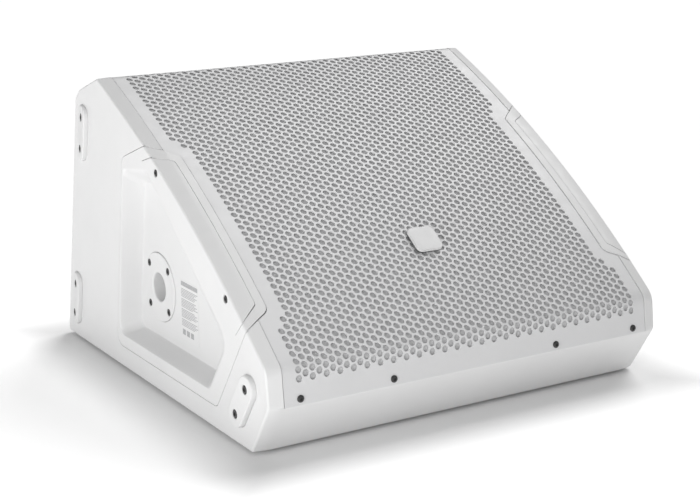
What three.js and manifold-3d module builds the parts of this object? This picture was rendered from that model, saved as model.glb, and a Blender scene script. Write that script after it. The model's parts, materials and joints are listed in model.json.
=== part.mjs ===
// Powered 15-inch coaxial stage monitor wedge, built as separate bench-assembled pieces.
// Units are millimetres. +X is the listener's right, +Y points back, +Z is up.
// The origin is on the floor, under the middle of the cabinet.
import * as THREE from 'three';
import { mergeVertices } from 'three/addons/utils/BufferGeometryUtils.js';
import Module from 'manifold-3d';

const wasm = await Module();
wasm.setup();

// ---------------------------------------------------------------- driving dimensions
const HALF_WIDTH = 278;          // middle of the cabinet to a side face
const FRONT_HALF_WIDTH = 259.5;  // middle of the cabinet to the edge of the front face
const CHAMFER_DEPTH = 4.1;       // how far the side edge lies behind the front face
const FLOOR_GAP = 4;             // height of the base feet
const GAP = 0.35;                // clearance between neighbouring pieces
const WALL = 12;

// The front face is a shallow cylinder. Distances along it are measured from one reference
// point and grow towards the lower front edge.
const FRONT_RADIUS = 1647;
const FRONT_REFERENCE = new THREE.Vector2(-104, 240.6);
const FRONT_SLOPE = THREE.MathUtils.degToRad(32.5);
const FRONT_TOP = -285;
const FRONT_BEND = 219.8;
const ARC_STEPS = 14;

const KICK_BOTTOM = new THREE.Vector2(-286.6, 65.5);
const UNDERCUT_FOOT = new THREE.Vector2(-248, FLOOR_GAP);
const BACK_HEEL = new THREE.Vector2(286.6, FLOOR_GAP);
const BACK_SHOULDER = new THREE.Vector2(226.3, 336.3);
const TOP_BACK = new THREE.Vector2(212.5, 348.2);

// Side inserts and their grip bars
const TRAY_INNER_FACE = 243;     // middle of the cabinet to the inner face of an insert
const RECESS_FLOOR = 249.5;      // middle of the cabinet to the floor of the hand recess
const GRIP_INNER_FACE = 254;

// Grille, foam and badge
const GRILLE_SETBACK = 0.3;
const GRILLE_THICKNESS = 1.5;
const FOAM_THICKNESS = 6;
const SCREW_HEAD_RADIUS = 4.8;
const SCREW_SHAFT_RADIUS = 2;
const BADGE_POSITION = 83;       // along the front face
const BADGE_SIZE = 37;

// Baffle and low-frequency driver, along the driver's own axis
const BAFFLE_MIDDLE = -46;       // where the front face is parallel to the baffle
const BAFFLE_DEPTH = 32;
const BAFFLE_THICKNESS = 18;
const BAFFLE_HALF_LENGTH = 222;
const BAFFLE_HALF_WIDTH = 242;
const DRIVER_DROP = 10;          // driver centre below the baffle's middle
const DRIVER_HOLE_RADIUS = 177;
const PORT_OFFSET = new THREE.Vector2(205, -148);
const PORT_RADIUS = 31;
const PORT_BORE = 28;
const PORT_LENGTH = 95;

// Back panel
const PANEL_HEIGHT = 170;        // of the panel's centre above the floor
const PANEL_SIZE = new THREE.Vector2(350, 210);
const PANEL_RECESS = 14;
const PANEL_THICKNESS = 3;

// Pole socket, on the floor of the left recess
const POLE_CENTRE = new THREE.Vector2(45, 120);
const POLE_BORE = 18;
const POLE_FLANGE_RADIUS = 44;
const POLE_DEPTH = 80;

// ---------------------------------------------------------------- finishes
const finish = (color, roughness, metalness = 0) =>
  new THREE.MeshStandardMaterial({ color, roughness, metalness });
const WHITE_SHELL = finish(0xe6e6e6, 0.45);
const WHITE_STEEL = finish(0xdedede, 0.42, 0.1);
const WHITE_RUBBER = finish(0xd8d8d8, 0.7);
const BLACK_STEEL = finish(0x1c1c1e, 0.35, 0.7);
const BLACK_PLASTIC = finish(0x202022, 0.5);
const BLACK_RUBBER = finish(0x1a1a1a, 0.85);
const GREY_FOAM = finish(0x9b9b9b, 0.95);
const BOARD = finish(0xb99c6b, 0.8);
const CONE_PAPER = finish(0x2b2b2d, 0.9);
const BARE_STEEL = finish(0x9fa2a6, 0.35, 0.9);
const FERRITE = finish(0x3a3a3e, 0.6, 0.2);
const ALUMINIUM = finish(0xb6b9bd, 0.4, 0.9);
const GREEN_BOARD = finish(0x1f5a36, 0.6);
const SPIDER_CLOTH = finish(0xc79a3a, 0.9);
const LAMP = finish(0x59d06a, 0.2);
const LABEL_FILM = finish(0xf0f0f0, 0.5);

// ---------------------------------------------------------------- solids
function solidOf(geometry) {
  const bare = geometry.clone();
  bare.deleteAttribute('normal');
  bare.deleteAttribute('uv');
  const merged = mergeVertices(bare, 1e-4);
  const vertProperties = new Float32Array(merged.attributes.position.array);
  const triVerts = new Uint32Array(merged.index.array);
  return new wasm.Manifold(new wasm.Mesh({ numProp: 3, vertProperties, triVerts }));
}

function geometryOf(solid) {
  const mesh = solid.getMesh();
  const geometry = new THREE.BufferGeometry();
  geometry.setAttribute('position', new THREE.BufferAttribute(mesh.vertProperties, 3));
  geometry.setIndex(new THREE.BufferAttribute(mesh.triVerts, 1));
  geometry.computeVertexNormals();
  return geometry;
}

function box(width, depth, height, x = 0, y = 0, z = 0) {
  return new THREE.BoxGeometry(width, depth, height).translate(x, y, z);
}

// A ring or turned piece about +Z; the profile is a closed list of [radius, height], either way round.
function turned(profile, segments = 36) {
  const points = profile.map(([radius, height]) => new THREE.Vector2(radius, height));
  if (THREE.ShapeUtils.area(points) < 0) {
    points.reverse();
  }
  if (profile[0][0] > 0) {
    points.push(points[0].clone());
  }
  return new THREE.LatheGeometry(points, segments).rotateX(Math.PI / 2);
}

function cylinder(radius, low, high, segments = 20) {
  return turned([[0, low], [radius, low], [radius, high], [0, high]], segments);
}

// An outline in the Y-Z plane, extruded along X.
function prismAlongX(outline, lowX, highX) {
  const geometry = new THREE.ExtrudeGeometry(new THREE.Shape(outline), {
    depth: highX - lowX,
    bevelEnabled: false,
  });
  const toYZX = new THREE.Matrix4().makeBasis(
    new THREE.Vector3(0, 1, 0),
    new THREE.Vector3(0, 0, 1),
    new THREE.Vector3(1, 0, 0),
  );
  return geometry.applyMatrix4(toYZX).translate(lowX, 0, 0);
}

// A closed skin through outlines of equal length, each in a plane of constant X.
function loftAlongX(sections) {
  const positions = [];
  const triangles = [];
  const count = sections[0].outline.length;
  for (const { x, outline } of sections) {
    outline.forEach((point) => positions.push(x, point.x, point.y));
  }
  for (let section = 0; section + 1 < sections.length; section += 1) {
    for (let i = 0; i < count; i += 1) {
      const a = section * count + i;
      const b = section * count + ((i + 1) % count);
      triangles.push(a, b, b + count, a, b + count, a + count);
    }
  }
  const last = (sections.length - 1) * count;
  for (const [a, b, c] of THREE.ShapeUtils.triangulateShape(sections[0].outline, [])) {
    triangles.push(c, b, a);
  }
  for (const [a, b, c] of THREE.ShapeUtils.triangulateShape(sections.at(-1).outline, [])) {
    triangles.push(last + a, last + b, last + c);
  }
  const geometry = new THREE.BufferGeometry();
  geometry.setAttribute('position', new THREE.Float32BufferAttribute(positions, 3));
  geometry.setIndex(triangles);
  return geometry;
}

// ---------------------------------------------------------------- outlines
function meet(pointA, alongA, pointB, alongB) {
  const across = alongA.cross(alongB);
  const along = pointB.clone().sub(pointA).cross(alongB) / across;
  return pointA.clone().addScaledVector(alongA, along);
}

// Corners are [point, radius, steps]; a corner with a radius becomes an arc.
function roundedOutline(corners) {
  const outline = [];
  corners.forEach(([corner, radius, steps], i) => {
    if (!radius) {
      outline.push(corner);
      return;
    }
    const before = corners.at(i - 1)[0].clone().sub(corner).normalize();
    const after = corners[(i + 1) % corners.length][0].clone().sub(corner).normalize();
    const halfAngle = Math.acos(before.dot(after)) / 2;
    const centre = before.clone().add(after).setLength(radius / Math.sin(halfAngle)).add(corner);
    const start = before.clone().setLength(radius / Math.tan(halfAngle)).add(corner).sub(centre);
    const turn = before.cross(after) > 0 ? -1 : 1;
    for (let step = 0; step <= steps; step += 1) {
      const angle = turn * (Math.PI - 2 * halfAngle) * (step / steps);
      outline.push(start.clone().rotateAround(new THREE.Vector2(), angle).add(centre));
    }
  });
  return outline;
}

// Moves every edge of an outline outwards by a distance.
function grown(outline, distance) {
  const edges = outline.map((point, i) => {
    const along = outline[(i + 1) % outline.length].clone().sub(point).normalize();
    const outwards = new THREE.Vector2(along.y, -along.x);
    return { point: point.clone().addScaledVector(outwards, distance), along };
  });
  return edges.map((edge, i) => {
    const previous = edges.at(i - 1);
    return meet(previous.point, previous.along, edge.point, edge.along);
  });
}

function frontAngle(along) {
  return FRONT_SLOPE + along / FRONT_RADIUS;
}

function frontPoint(along, depth = 0) {
  const inwards = (angle) => new THREE.Vector2(Math.sin(angle), -Math.cos(angle));
  const centre = FRONT_REFERENCE.clone().addScaledVector(inwards(FRONT_SLOPE), FRONT_RADIUS);
  return centre.addScaledVector(inwards(frontAngle(along)), depth - FRONT_RADIUS);
}

function frontTangent(along) {
  return new THREE.Vector2(-Math.cos(frontAngle(along)), -Math.sin(frontAngle(along)));
}

const kickTop = frontPoint(FRONT_BEND);
const kickAlong = KICK_BOTTOM.clone().sub(kickTop).normalize();
const kickInwards = new THREE.Vector2(-kickAlong.y, kickAlong.x);
const undercutAlong = UNDERCUT_FOOT.clone().sub(KICK_BOTTOM).normalize();
const undercutInwards = new THREE.Vector2(-undercutAlong.y, undercutAlong.x);

// The cabinet's outline from its top front edge, down the front and round by the floor and back.
// inset moves the front, kick strip and undercut inwards.
function cabinetOutline(inset, bendRadius, kickRadius) {
  const topAlong = TOP_BACK.clone().sub(frontPoint(FRONT_TOP)).normalize();
  const kickPoint = KICK_BOTTOM.clone().addScaledVector(kickInwards, inset);
  const undercutPoint = KICK_BOTTOM.clone().addScaledVector(undercutInwards, inset);
  const corners = [
    [meet(frontPoint(FRONT_TOP, inset), frontTangent(FRONT_TOP), TOP_BACK, topAlong), 0],
  ];
  for (let step = 1; step < ARC_STEPS; step += 1) {
    const along = THREE.MathUtils.lerp(FRONT_TOP, FRONT_BEND - 20, step / (ARC_STEPS - 1));
    corners.push([frontPoint(along, inset), 0]);
  }
  const floorAlong = new THREE.Vector2(1, 0);
  corners.push(
    [meet(corners.at(-1)[0], frontTangent(FRONT_BEND - 10), kickPoint, kickAlong), bendRadius, 3],
    [meet(kickPoint, kickAlong, undercutPoint, undercutAlong), kickRadius, 2],
    [meet(undercutPoint, undercutAlong, UNDERCUT_FOOT, floorAlong), 0],
    [BACK_HEEL, 0],
    [BACK_SHOULDER, 0],
    [TOP_BACK, 0],
  );
  return roundedOutline(corners);
}

const frontOutline = cabinetOutline(0, 16, 8);
const sideOutline = cabinetOutline(CHAMFER_DEPTH, 26, 12);
const outerBody = solidOf(loftAlongX([
  { x: -HALF_WIDTH, outline: sideOutline },
  { x: -FRONT_HALF_WIDTH, outline: frontOutline },
  { x: FRONT_HALF_WIDTH, outline: frontOutline },
  { x: HALF_WIDTH, outline: sideOutline },
]));

// The insert's seam on the side face. Its front corners lie ahead of the cabinet.
const trayOutline = roundedOutline([
  [new THREE.Vector2(-57, 331), 0],
  [new THREE.Vector2(-276, 205), 0],
  [new THREE.Vector2(-160.6, 31.7), 12, 3],
  [new THREE.Vector2(119.1, 31.7), 14, 3],
  [new THREE.Vector2(83.6, 281.3), 8, 2],
]);

// The grip bar's seam, with its front corners ahead of the cabinet too.
const gripOutline = [
  new THREE.Vector2(-47, 310),
  new THREE.Vector2(-255, 199.2),
  new THREE.Vector2(-210.3, 132),
  new THREE.Vector2(36.8, 283.2),
];

const recessMouth = roundedOutline([
  [new THREE.Vector2(12, 278.4), 15, 3],
  [new THREE.Vector2(-191.6, 117.6), 20, 3],
  [new THREE.Vector2(-144.8, 47.9), 15, 3],
  [new THREE.Vector2(109, 47.9), 12, 3],
  [new THREE.Vector2(82.6, 268), 10, 3],
]);
const recessBottom = roundedOutline([
  [new THREE.Vector2(27.5, 250), 22, 3],
  [new THREE.Vector2(-128, 97.8), 24, 3],
  [new THREE.Vector2(-112, 55.5), 12, 3],
  [new THREE.Vector2(105, 55.5), 12, 3],
  [new THREE.Vector2(79, 246), 12, 3],
]);

// ---------------------------------------------------------------- assembly helpers
const monitor = new THREE.Group();

function addPiece(name, geometry, material, parent = monitor) {
  const piece = new THREE.Mesh(geometry, material);
  piece.name = name;
  parent.add(piece);
  return piece;
}

function mirrored(solid) {
  return solid.mirror([1, 0, 0]);
}

// A group whose +Z points out of the baffle and whose +Y climbs the slope.
const baffleAngle = frontAngle(BAFFLE_MIDDLE);
const baffleMiddle = frontPoint(BAFFLE_MIDDLE, BAFFLE_DEPTH);
const driverCentre = baffleMiddle.clone().addScaledVector(frontTangent(BAFFLE_MIDDLE), DRIVER_DROP);
const driver = new THREE.Group();
driver.position.set(0, driverCentre.x, driverCentre.y);
driver.rotation.x = baffleAngle;
monitor.add(driver);

// A group on the back face: +Z points out of it, +Y up it, +X to the right as seen from behind.
const backAlong = BACK_SHOULDER.clone().sub(BACK_HEEL).normalize();
const panelRise = (PANEL_HEIGHT - BACK_HEEL.y) / backAlong.y;
const panelCentre = BACK_HEEL.clone().addScaledVector(backAlong, panelRise);
const back = new THREE.Group();
back.position.set(0, panelCentre.x, panelCentre.y);
back.quaternion.setFromRotationMatrix(new THREE.Matrix4().makeBasis(
  new THREE.Vector3(-1, 0, 0),
  new THREE.Vector3(0, backAlong.x, backAlong.y),
  new THREE.Vector3(0, backAlong.y, -backAlong.x),
));
monitor.add(back);
monitor.updateMatrixWorld(true);

function placed(geometry, group) {
  return solidOf(geometry.clone().applyMatrix4(group.matrixWorld));
}

function cutAll(solid, cutters) {
  return cutters.reduce((rest, cutter) => rest.subtract(cutter), solid);
}

// ---------------------------------------------------------------- side inserts
const OUTSIDE = HALF_WIDTH + 20;  // clear of every side face, for cutters
const trayOpening = solidOf(prismAlongX(grown(trayOutline, GAP), -OUTSIDE, GAP - TRAY_INNER_FACE));
const recess = solidOf(loftAlongX([
  { x: -OUTSIDE, outline: recessMouth },
  { x: -HALF_WIDTH, outline: recessMouth },
  { x: -RECESS_FLOOR, outline: recessBottom },
]));
const gripRoom = solidOf(prismAlongX(grown(gripOutline, GAP), -OUTSIDE, GAP - GRIP_INNER_FACE));

const gripScrewPlaces = {
  upper: new THREE.Vector2(-13.5, 279.3),
  lower: new THREE.Vector2(-187, 167.5),
};

// Screws that enter a side face point along X; side is -1 on the left and 1 on the right.
function alongSide(geometry, side, place) {
  return geometry.rotateY(side * Math.PI / 2).translate(side * HALF_WIDTH, place.x, place.y);
}

function screwBlank(headRadius, headHeight, shaftRadius, shaftLength, segments = 12) {
  return turned([
    [0, -shaftLength],
    [shaftRadius, -shaftLength],
    [shaftRadius, GAP],
    [headRadius, GAP],
    [headRadius, headHeight * 0.6],
    [headRadius * 0.75, headHeight],
    [0, headHeight],
  ], segments);
}

function makeSideInsert() {
  const block = outerBody.intersect(solidOf(prismAlongX(trayOutline, -OUTSIDE, -TRAY_INNER_FACE)));
  return cutAll(block, [gripRoom, recess]);
}

function makeGrip() {
  const bar = outerBody.intersect(solidOf(prismAlongX(gripOutline, -OUTSIDE, -GRIP_INNER_FACE)));
  const holes = Object.values(gripScrewPlaces).map((place) =>
    solidOf(alongSide(cylinder(SCREW_SHAFT_RADIUS + GAP, -17, 10, 12), -1, place)));
  return cutAll(bar, [recess, ...holes]);
}

const insert = makeSideInsert();
const grip = makeGrip();
const poleHole = solidOf(
  cylinder(POLE_BORE + 3 + GAP, -20, 20, 32).rotateY(-Math.PI / 2)
    .translate(-RECESS_FLOOR, POLE_CENTRE.x, POLE_CENTRE.y),
);
addPiece('side_tray_left', geometryOf(insert.subtract(poleHole)), WHITE_SHELL);
addPiece('side_tray_right', geometryOf(mirrored(insert)), WHITE_SHELL);
addPiece('handle_grip_left', geometryOf(grip), WHITE_SHELL);
addPiece('handle_grip_right', geometryOf(mirrored(grip)), WHITE_SHELL);
for (const [side, sideName] of [[-1, 'left'], [1, 'right']]) {
  for (const [level, place] of Object.entries(gripScrewPlaces)) {
    const screw = alongSide(screwBlank(4.6, 2, SCREW_SHAFT_RADIUS, 16), side, place);
    addPiece(`grip_screw_${sideName}_${level}`, screw, BLACK_STEEL);
  }
}

const poleSocket = turned([
  [0, -POLE_DEPTH],
  [POLE_BORE + 3, -POLE_DEPTH],
  [POLE_BORE + 3, GAP],
  [POLE_FLANGE_RADIUS, GAP],
  [POLE_FLANGE_RADIUS, 2],
  [POLE_FLANGE_RADIUS - 2, 3],
  [POLE_BORE + 1, 3],
  [POLE_BORE, 2],
  [POLE_BORE, 3 - POLE_DEPTH],
  [0, 3 - POLE_DEPTH],
], 32);
const poleSocketPiece = addPiece('pole_socket', poleSocket, WHITE_SHELL);
poleSocketPiece.rotation.y = -Math.PI / 2;
poleSocketPiece.position.set(-RECESS_FLOOR, POLE_CENTRE.x, POLE_CENTRE.y);
addPiece('rating_plate', box(0.6, 47, 75, -RECESS_FLOOR - 0.7, -37.5, 107.5), LABEL_FILM);

// ---------------------------------------------------------------- feet
// Long pads with round ends. lean tilts a pad's top towards the front, wedge slopes its face backwards.
const FOOT_LENGTH = 75;
const FOOT_WIDTH = 31;
const FOOT_RISE = 6.5;
const sideFeet = {
  front: { y: -228.8, z: 60.3, lean: 33.7, wedge: 0 },
  back_upper: { y: 205.2, z: 292.9, lean: 10.3, wedge: 10 },
  back_lower: { y: 249.1, z: 59.3, lean: 10.3, wedge: 10 },
};

function sideFoot({ y, z, lean, wedge }) {
  const half = FOOT_LENGTH / 2 - FOOT_WIDTH / 2;
  const shape = new THREE.Shape();
  shape.absarc(0, half, FOOT_WIDTH / 2, 0, Math.PI);
  shape.absarc(0, -half, FOOT_WIDTH / 2, Math.PI, 2 * Math.PI);
  const pad = new THREE.ExtrudeGeometry(shape, { depth: FOOT_RISE, bevelEnabled: false, curveSegments: 6 });
  const corner = new THREE.Vector3();
  const position = pad.attributes.position;
  const slope = Math.tan(THREE.MathUtils.degToRad(wedge));
  for (let i = 0; i < position.count; i += 1) {
    corner.fromBufferAttribute(position, i);
    if (corner.z > 1) {
      position.setZ(i, corner.z + (corner.x - FOOT_WIDTH / 2) * slope);
    }
  }
  // Local +X of the pad turns to face the front (-Y), local +Z to face out of the left side (-X).
  const toSide = new THREE.Matrix4().makeBasis(
    new THREE.Vector3(0, -1, 0),
    new THREE.Vector3(0, 0, 1),
    new THREE.Vector3(-1, 0, 0),
  );
  pad.rotateZ(-THREE.MathUtils.degToRad(lean));
  return solidOf(pad.applyMatrix4(toSide).translate(-HALF_WIDTH - GAP, y, z));
}

for (const [place, spec] of Object.entries(sideFeet)) {
  const foot = sideFoot(spec);
  addPiece(`side_foot_left_${place}`, geometryOf(foot), WHITE_RUBBER);
  addPiece(`side_foot_right_${place}`, geometryOf(mirrored(foot)), WHITE_RUBBER);
}

const BASE_FOOT_X = 232;
const baseFootRows = { front: -212, back: 222 };
for (const [endName, y] of Object.entries(baseFootRows)) {
  for (const [side, sideName] of [[-1, 'left'], [1, 'right']]) {
    const foot = turned([[0, 0], [13, 0], [15, FLOOR_GAP - GAP], [0, FLOOR_GAP - GAP]], 20);
    addPiece(`base_foot_${endName}_${sideName}`, foot, BLACK_RUBBER).position.set(side * BASE_FOOT_X, y, 0);
  }
}

// ---------------------------------------------------------------- grille and foam
// A strip that follows the front face between two depths, bent down over the kick strip.
function bentStrip(fromDepth, toDepth, start, kickLength) {
  const edge = (depth) => {
    const corners = [[frontPoint(start, depth), 0]];
    for (let step = 1; step < ARC_STEPS; step += 1) {
      const along = THREE.MathUtils.lerp(start, FRONT_BEND - 20, step / (ARC_STEPS - 1));
      corners.push([frontPoint(along, depth), 0]);
    }
    const kickPoint = kickTop.clone().addScaledVector(kickInwards, depth);
    const bend = meet(corners.at(-1)[0], frontTangent(FRONT_BEND - 10), kickPoint, kickAlong);
    corners.push([bend, 16 - depth, 3]);
    corners.push([kickPoint.addScaledVector(kickAlong, kickLength), 0]);
    return roundedOutline(corners);
  };
  return [...edge(fromDepth), ...edge(toDepth).reverse()];
}

const KICK_LENGTH = KICK_BOTTOM.distanceTo(kickTop);
const trayOpenings = [trayOpening, mirrored(trayOpening)];
const grilleScrewHeight = KICK_LENGTH - 7.7;  // down the kick strip
const kickScrew = new THREE.Group();
const kickScrewPlace = kickTop.clone().addScaledVector(kickAlong, grilleScrewHeight)
  .addScaledVector(kickInwards, GRILLE_SETBACK);
kickScrew.position.set(0, kickScrewPlace.x, kickScrewPlace.y);
kickScrew.quaternion.setFromUnitVectors(
  new THREE.Vector3(0, 0, 1),
  new THREE.Vector3(0, -kickInwards.x, -kickInwards.y),
);
monitor.add(kickScrew);
monitor.updateMatrixWorld(true);
const SCREW_COLUMN_INNER = 116.8;
const SCREW_COLUMN_OUTER = 239;
const grilleScrewColumns = [-SCREW_COLUMN_OUTER, -SCREW_COLUMN_INNER, SCREW_COLUMN_INNER, SCREW_COLUMN_OUTER];
const grilleScrewHoles = grilleScrewColumns.map((x) =>
  placed(cylinder(SCREW_SHAFT_RADIUS + GAP, -16, 6, 12).translate(x, 0, 0), kickScrew));

function makeGrille() {
  const back = GRILLE_SETBACK + GRILLE_THICKNESS;
  const outline = bentStrip(GRILLE_SETBACK, back, FRONT_TOP + 3, KICK_LENGTH - 1.5);
  const sheet = solidOf(prismAlongX(outline, 0.5 - FRONT_HALF_WIDTH, FRONT_HALF_WIDTH - 0.5));
  return cutAll(sheet, [...trayOpenings, ...grilleScrewHoles]);
}

addPiece('grille_panel', geometryOf(makeGrille()), WHITE_STEEL);
const foamOutline = bentStrip(
  GRILLE_SETBACK + GRILLE_THICKNESS + GAP,
  GRILLE_SETBACK + GRILLE_THICKNESS + GAP + FOAM_THICKNESS,
  FRONT_TOP + 8,
  25,
);
addPiece('foam_sheet', prismAlongX(foamOutline, 1 - TRAY_INNER_FACE, TRAY_INNER_FACE - 1), GREY_FOAM);
grilleScrewColumns.forEach((x, i) => {
  const screw = screwBlank(SCREW_HEAD_RADIUS, 1.8, SCREW_SHAFT_RADIUS, 15);
  addPiece(`grille_screw_${i + 1}`, screw, BLACK_STEEL, kickScrew).position.x = x;
});

const badge = new THREE.Group();
const badgePlace = frontPoint(BADGE_POSITION, GRILLE_SETBACK);
badge.position.set(0, badgePlace.x, badgePlace.y);
badge.rotation.x = frontAngle(BADGE_POSITION);
monitor.add(badge);

function roundedSquare(size, radius, low, high) {
  const half = size / 2;
  const corners = [[-half, -half], [half, -half], [half, half], [-half, half]]
    .map(([x, y]) => [new THREE.Vector2(x, y), radius, 4]);
  const shape = new THREE.Shape(roundedOutline(corners));
  return new THREE.ExtrudeGeometry(shape, { depth: high - low, bevelEnabled: false }).translate(0, 0, low);
}

addPiece('badge_base', roundedSquare(BADGE_SIZE - 3, 3, 0.5, 2), BLACK_PLASTIC, badge);
addPiece('badge_plate', roundedSquare(BADGE_SIZE, 4, 2.3, 4), WHITE_SHELL, badge);

// ---------------------------------------------------------------- cabinet
function makeCabinet() {
  const behindBaffle = new THREE.Vector2(Math.sin(baffleAngle), -Math.cos(baffleAngle));
  const cavityOutline = [
    new THREE.Vector2(172, 346),
    new THREE.Vector2(150, 334.8),
    baffleMiddle.clone()
      .addScaledVector(frontTangent(BAFFLE_MIDDLE), BAFFLE_HALF_LENGTH)
      .add(behindBaffle.setLength(BAFFLE_THICKNESS + GAP)),
    new THREE.Vector2(-262, 96),
    new THREE.Vector2(-264, 60),
    new THREE.Vector2(-238, FLOOR_GAP + WALL),
    new THREE.Vector2(265, FLOOR_GAP + WALL),
    new THREE.Vector2(209.5, 325),
    new THREE.Vector2(205, 334),
  ];
  const cavity = solidOf(prismAlongX(cavityOutline, WALL - HALF_WIDTH, HALF_WIDTH - WALL));
  const mouthHeight = BAFFLE_DEPTH + BAFFLE_THICKNESS + 30;
  const mouth = placed(
    box(2 * BAFFLE_HALF_WIDTH + 1, 2 * BAFFLE_HALF_LENGTH + 1, mouthHeight, 0, DRIVER_DROP,
      mouthHeight / 2 - BAFFLE_THICKNESS - GAP),
    driver,
  );
  const channelOutline = bentStrip(-12, GRILLE_SETBACK + GRILLE_THICKNESS + FOAM_THICKNESS + 1,
    FRONT_TOP + 2, KICK_LENGTH - 1);
  const channel = solidOf(prismAlongX(channelOutline, GAP - FRONT_HALF_WIDTH, FRONT_HALF_WIDTH - GAP));
  const panelRoom = placed(
    box(PANEL_SIZE.x + 1, PANEL_SIZE.y + 1, PANEL_RECESS + 20, 0, 0, 10 - PANEL_RECESS / 2),
    back,
  );
  const panelWindow = placed(box(PANEL_SIZE.x - 30, PANEL_SIZE.y - 30, 60, 0, 0, -15), back);
  return cutAll(outerBody, [
    cavity, mouth, channel, panelRoom, panelWindow, ...trayOpenings, ...grilleScrewHoles,
  ]);
}

addPiece('cabinet_shell', geometryOf(makeCabinet()), WHITE_SHELL);

const BRACE_Y = 137;
const BRACE_Z = 240;
addPiece('cross_brace', box(2 * (HALF_WIDTH - WALL - GAP), WALL, 60, 0, BRACE_Y, BRACE_Z), BOARD);

const PAD_SIZE = new THREE.Vector3(400, 105, 24);
const PAD_Y = 150;
const padHeight = FLOOR_GAP + WALL + GAP + PAD_SIZE.z / 2;
addPiece('damping_pad', box(PAD_SIZE.x, PAD_SIZE.y, PAD_SIZE.z, 0, PAD_Y, padHeight), GREY_FOAM);

// ---------------------------------------------------------------- baffle and drivers
function makeBaffle() {
  const board = solidOf(box(2 * BAFFLE_HALF_WIDTH, 2 * BAFFLE_HALF_LENGTH, BAFFLE_THICKNESS - GAP,
    0, DRIVER_DROP, -BAFFLE_THICKNESS / 2));
  const driverHole = solidOf(cylinder(DRIVER_HOLE_RADIUS, -40, 40, 48));
  const portHoles = [-1, 1].map((side) =>
    solidOf(cylinder(PORT_RADIUS + GAP, -40, 40, 28).translate(side * PORT_OFFSET.x, PORT_OFFSET.y, 0)));
  return cutAll(board, [driverHole, ...portHoles]);
}

addPiece('baffle_board', geometryOf(makeBaffle()), BOARD, driver);
for (const [side, sideName] of [[-1, 'left'], [1, 'right']]) {
  const tube = turned([
    [PORT_BORE, -PORT_LENGTH],
    [PORT_RADIUS, -PORT_LENGTH],
    [PORT_RADIUS, GAP],
    [PORT_RADIUS + 5, GAP],
    [PORT_RADIUS + 5, 3],
    [PORT_BORE + 3, 3],
    [PORT_BORE, 0],
  ], 28);
  addPiece(`port_tube_${sideName}`, tube, BLACK_PLASTIC, driver)
    .position.set(side * PORT_OFFSET.x, PORT_OFFSET.y, 0);
}

// Basket: a flanged bowl with six windows between its spokes.
function makeBasket() {
  const bowl = solidOf(turned([
    [172, 4.3], [170, -6], [96, -68], [82, -76], [80, -90], [60, -92],
    [60, -96], [86, -95], [100, -74], [175.5, -10], [175.5, GAP], [193, GAP], [193, 4.3],
  ], 36));
  const windows = Array.from({ length: 6 }, (_, i) =>
    solidOf(box(70, 60, 44, 0, 145, -38).rotateZ(i * Math.PI / 3)));
  return cutAll(bowl, windows);
}

const ROLL_CENTRE = 166;
const ROLL_RADIUS = 7;
const ROLL_THICKNESS = 1;
const ROLL_SEAT = 4.7;
const rollSection = [0, 1, 2, 3].map((step) => {
  const angle = Math.PI * (step / 3);
  return [Math.cos(angle), Math.sin(angle)];
});
const surroundProfile = [
  [184, ROLL_SEAT],
  [184, ROLL_SEAT + ROLL_THICKNESS],
  ...rollSection.map(([c, s]) => [ROLL_CENTRE + ROLL_RADIUS * c, ROLL_SEAT + ROLL_THICKNESS + ROLL_RADIUS * s]),
  ...rollSection.map(([c, s]) => [
    ROLL_CENTRE - (ROLL_RADIUS - ROLL_THICKNESS) * c,
    ROLL_SEAT + (ROLL_RADIUS - ROLL_THICKNESS) * s,
  ]),
];

addPiece('woofer_basket', geometryOf(makeBasket()), BLACK_STEEL, driver);
const clampProfile = [[177, 6.1], [193, 6.1], [193, 9], [177, 9]];
addPiece('woofer_clamp_ring', turned(clampProfile, 36), BLACK_RUBBER, driver);
addPiece('woofer_surround', turned(surroundProfile, 32), BLACK_RUBBER, driver);
addPiece('woofer_cone', turned([
  [156, 3.2], [153, 4.2], [40, -60], [40, -62.5], [44, -62.5], [156, 1.2],
], 32), CONE_PAPER, driver);
addPiece('voice_coil', turned([[38, -112], [39.4, -112], [39.4, -58], [38, -58]], 28), ALUMINIUM, driver);
addPiece('woofer_spider', turned([
  [40.4, -84], [48, -82], [56, -86], [64, -82], [72, -86], [79, -84],
  [79, -85], [72, -87], [64, -83], [56, -87], [48, -83], [40.4, -85],
], 24), SPIDER_CLOTH, driver);
addPiece('magnet_front_plate', turned([
  [40.6, -104.3], [90, -104.3], [90, -96.4], [40.6, -96.4],
], 28), BARE_STEEL, driver);
addPiece('magnet_ring', turned([
  [55, -124.6], [98, -124.6], [98, -104.7], [55, -104.7],
], 28), FERRITE, driver);
addPiece('magnet_back_plate', turned([
  [20, -135], [90, -135], [90, -125], [36.6, -125], [36.6, -96.4], [20, -96.4],
], 28), BARE_STEEL, driver);
addPiece('horn', turned([
  [15.5, -134], [19, -134], [19, -66], [30, -48], [60, -10], [72, -3], [72, -1],
  [58, -6], [27, -46], [15.5, -66],
], 28), BLACK_PLASTIC, driver);
addPiece('compression_driver', turned([
  [0, -150], [15, -150], [15, -135.4], [34, -135.4], [54, -141], [54, -168], [44, -180], [0, -180],
], 28), BARE_STEEL, driver);

// ---------------------------------------------------------------- back panel
// Everything here is in the back group: heights are measured out of the back face.
const PANEL_FACE = PANEL_THICKNESS - PANEL_RECESS;
const SEAT = PANEL_FACE + GAP;
const inputPlace = new THREE.Vector2(-140, 55);
const linkPlace = new THREE.Vector2(-95, 55);
const levelPlace = new THREE.Vector2(-140, 0);
const buttonPlace = new THREE.Vector2(-95, 6);
const lampPlace = new THREE.Vector2(-95, -12);
const mainsPlace = new THREE.Vector2(-138, -60);
const switchPlace = new THREE.Vector2(-88, -60);
const LATCH_OFFSET = 14.6;
const BOARD_STANDOFF = 24;

function at(geometry, place) {
  return geometry.translate(place.x, place.y, 0);
}

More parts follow.
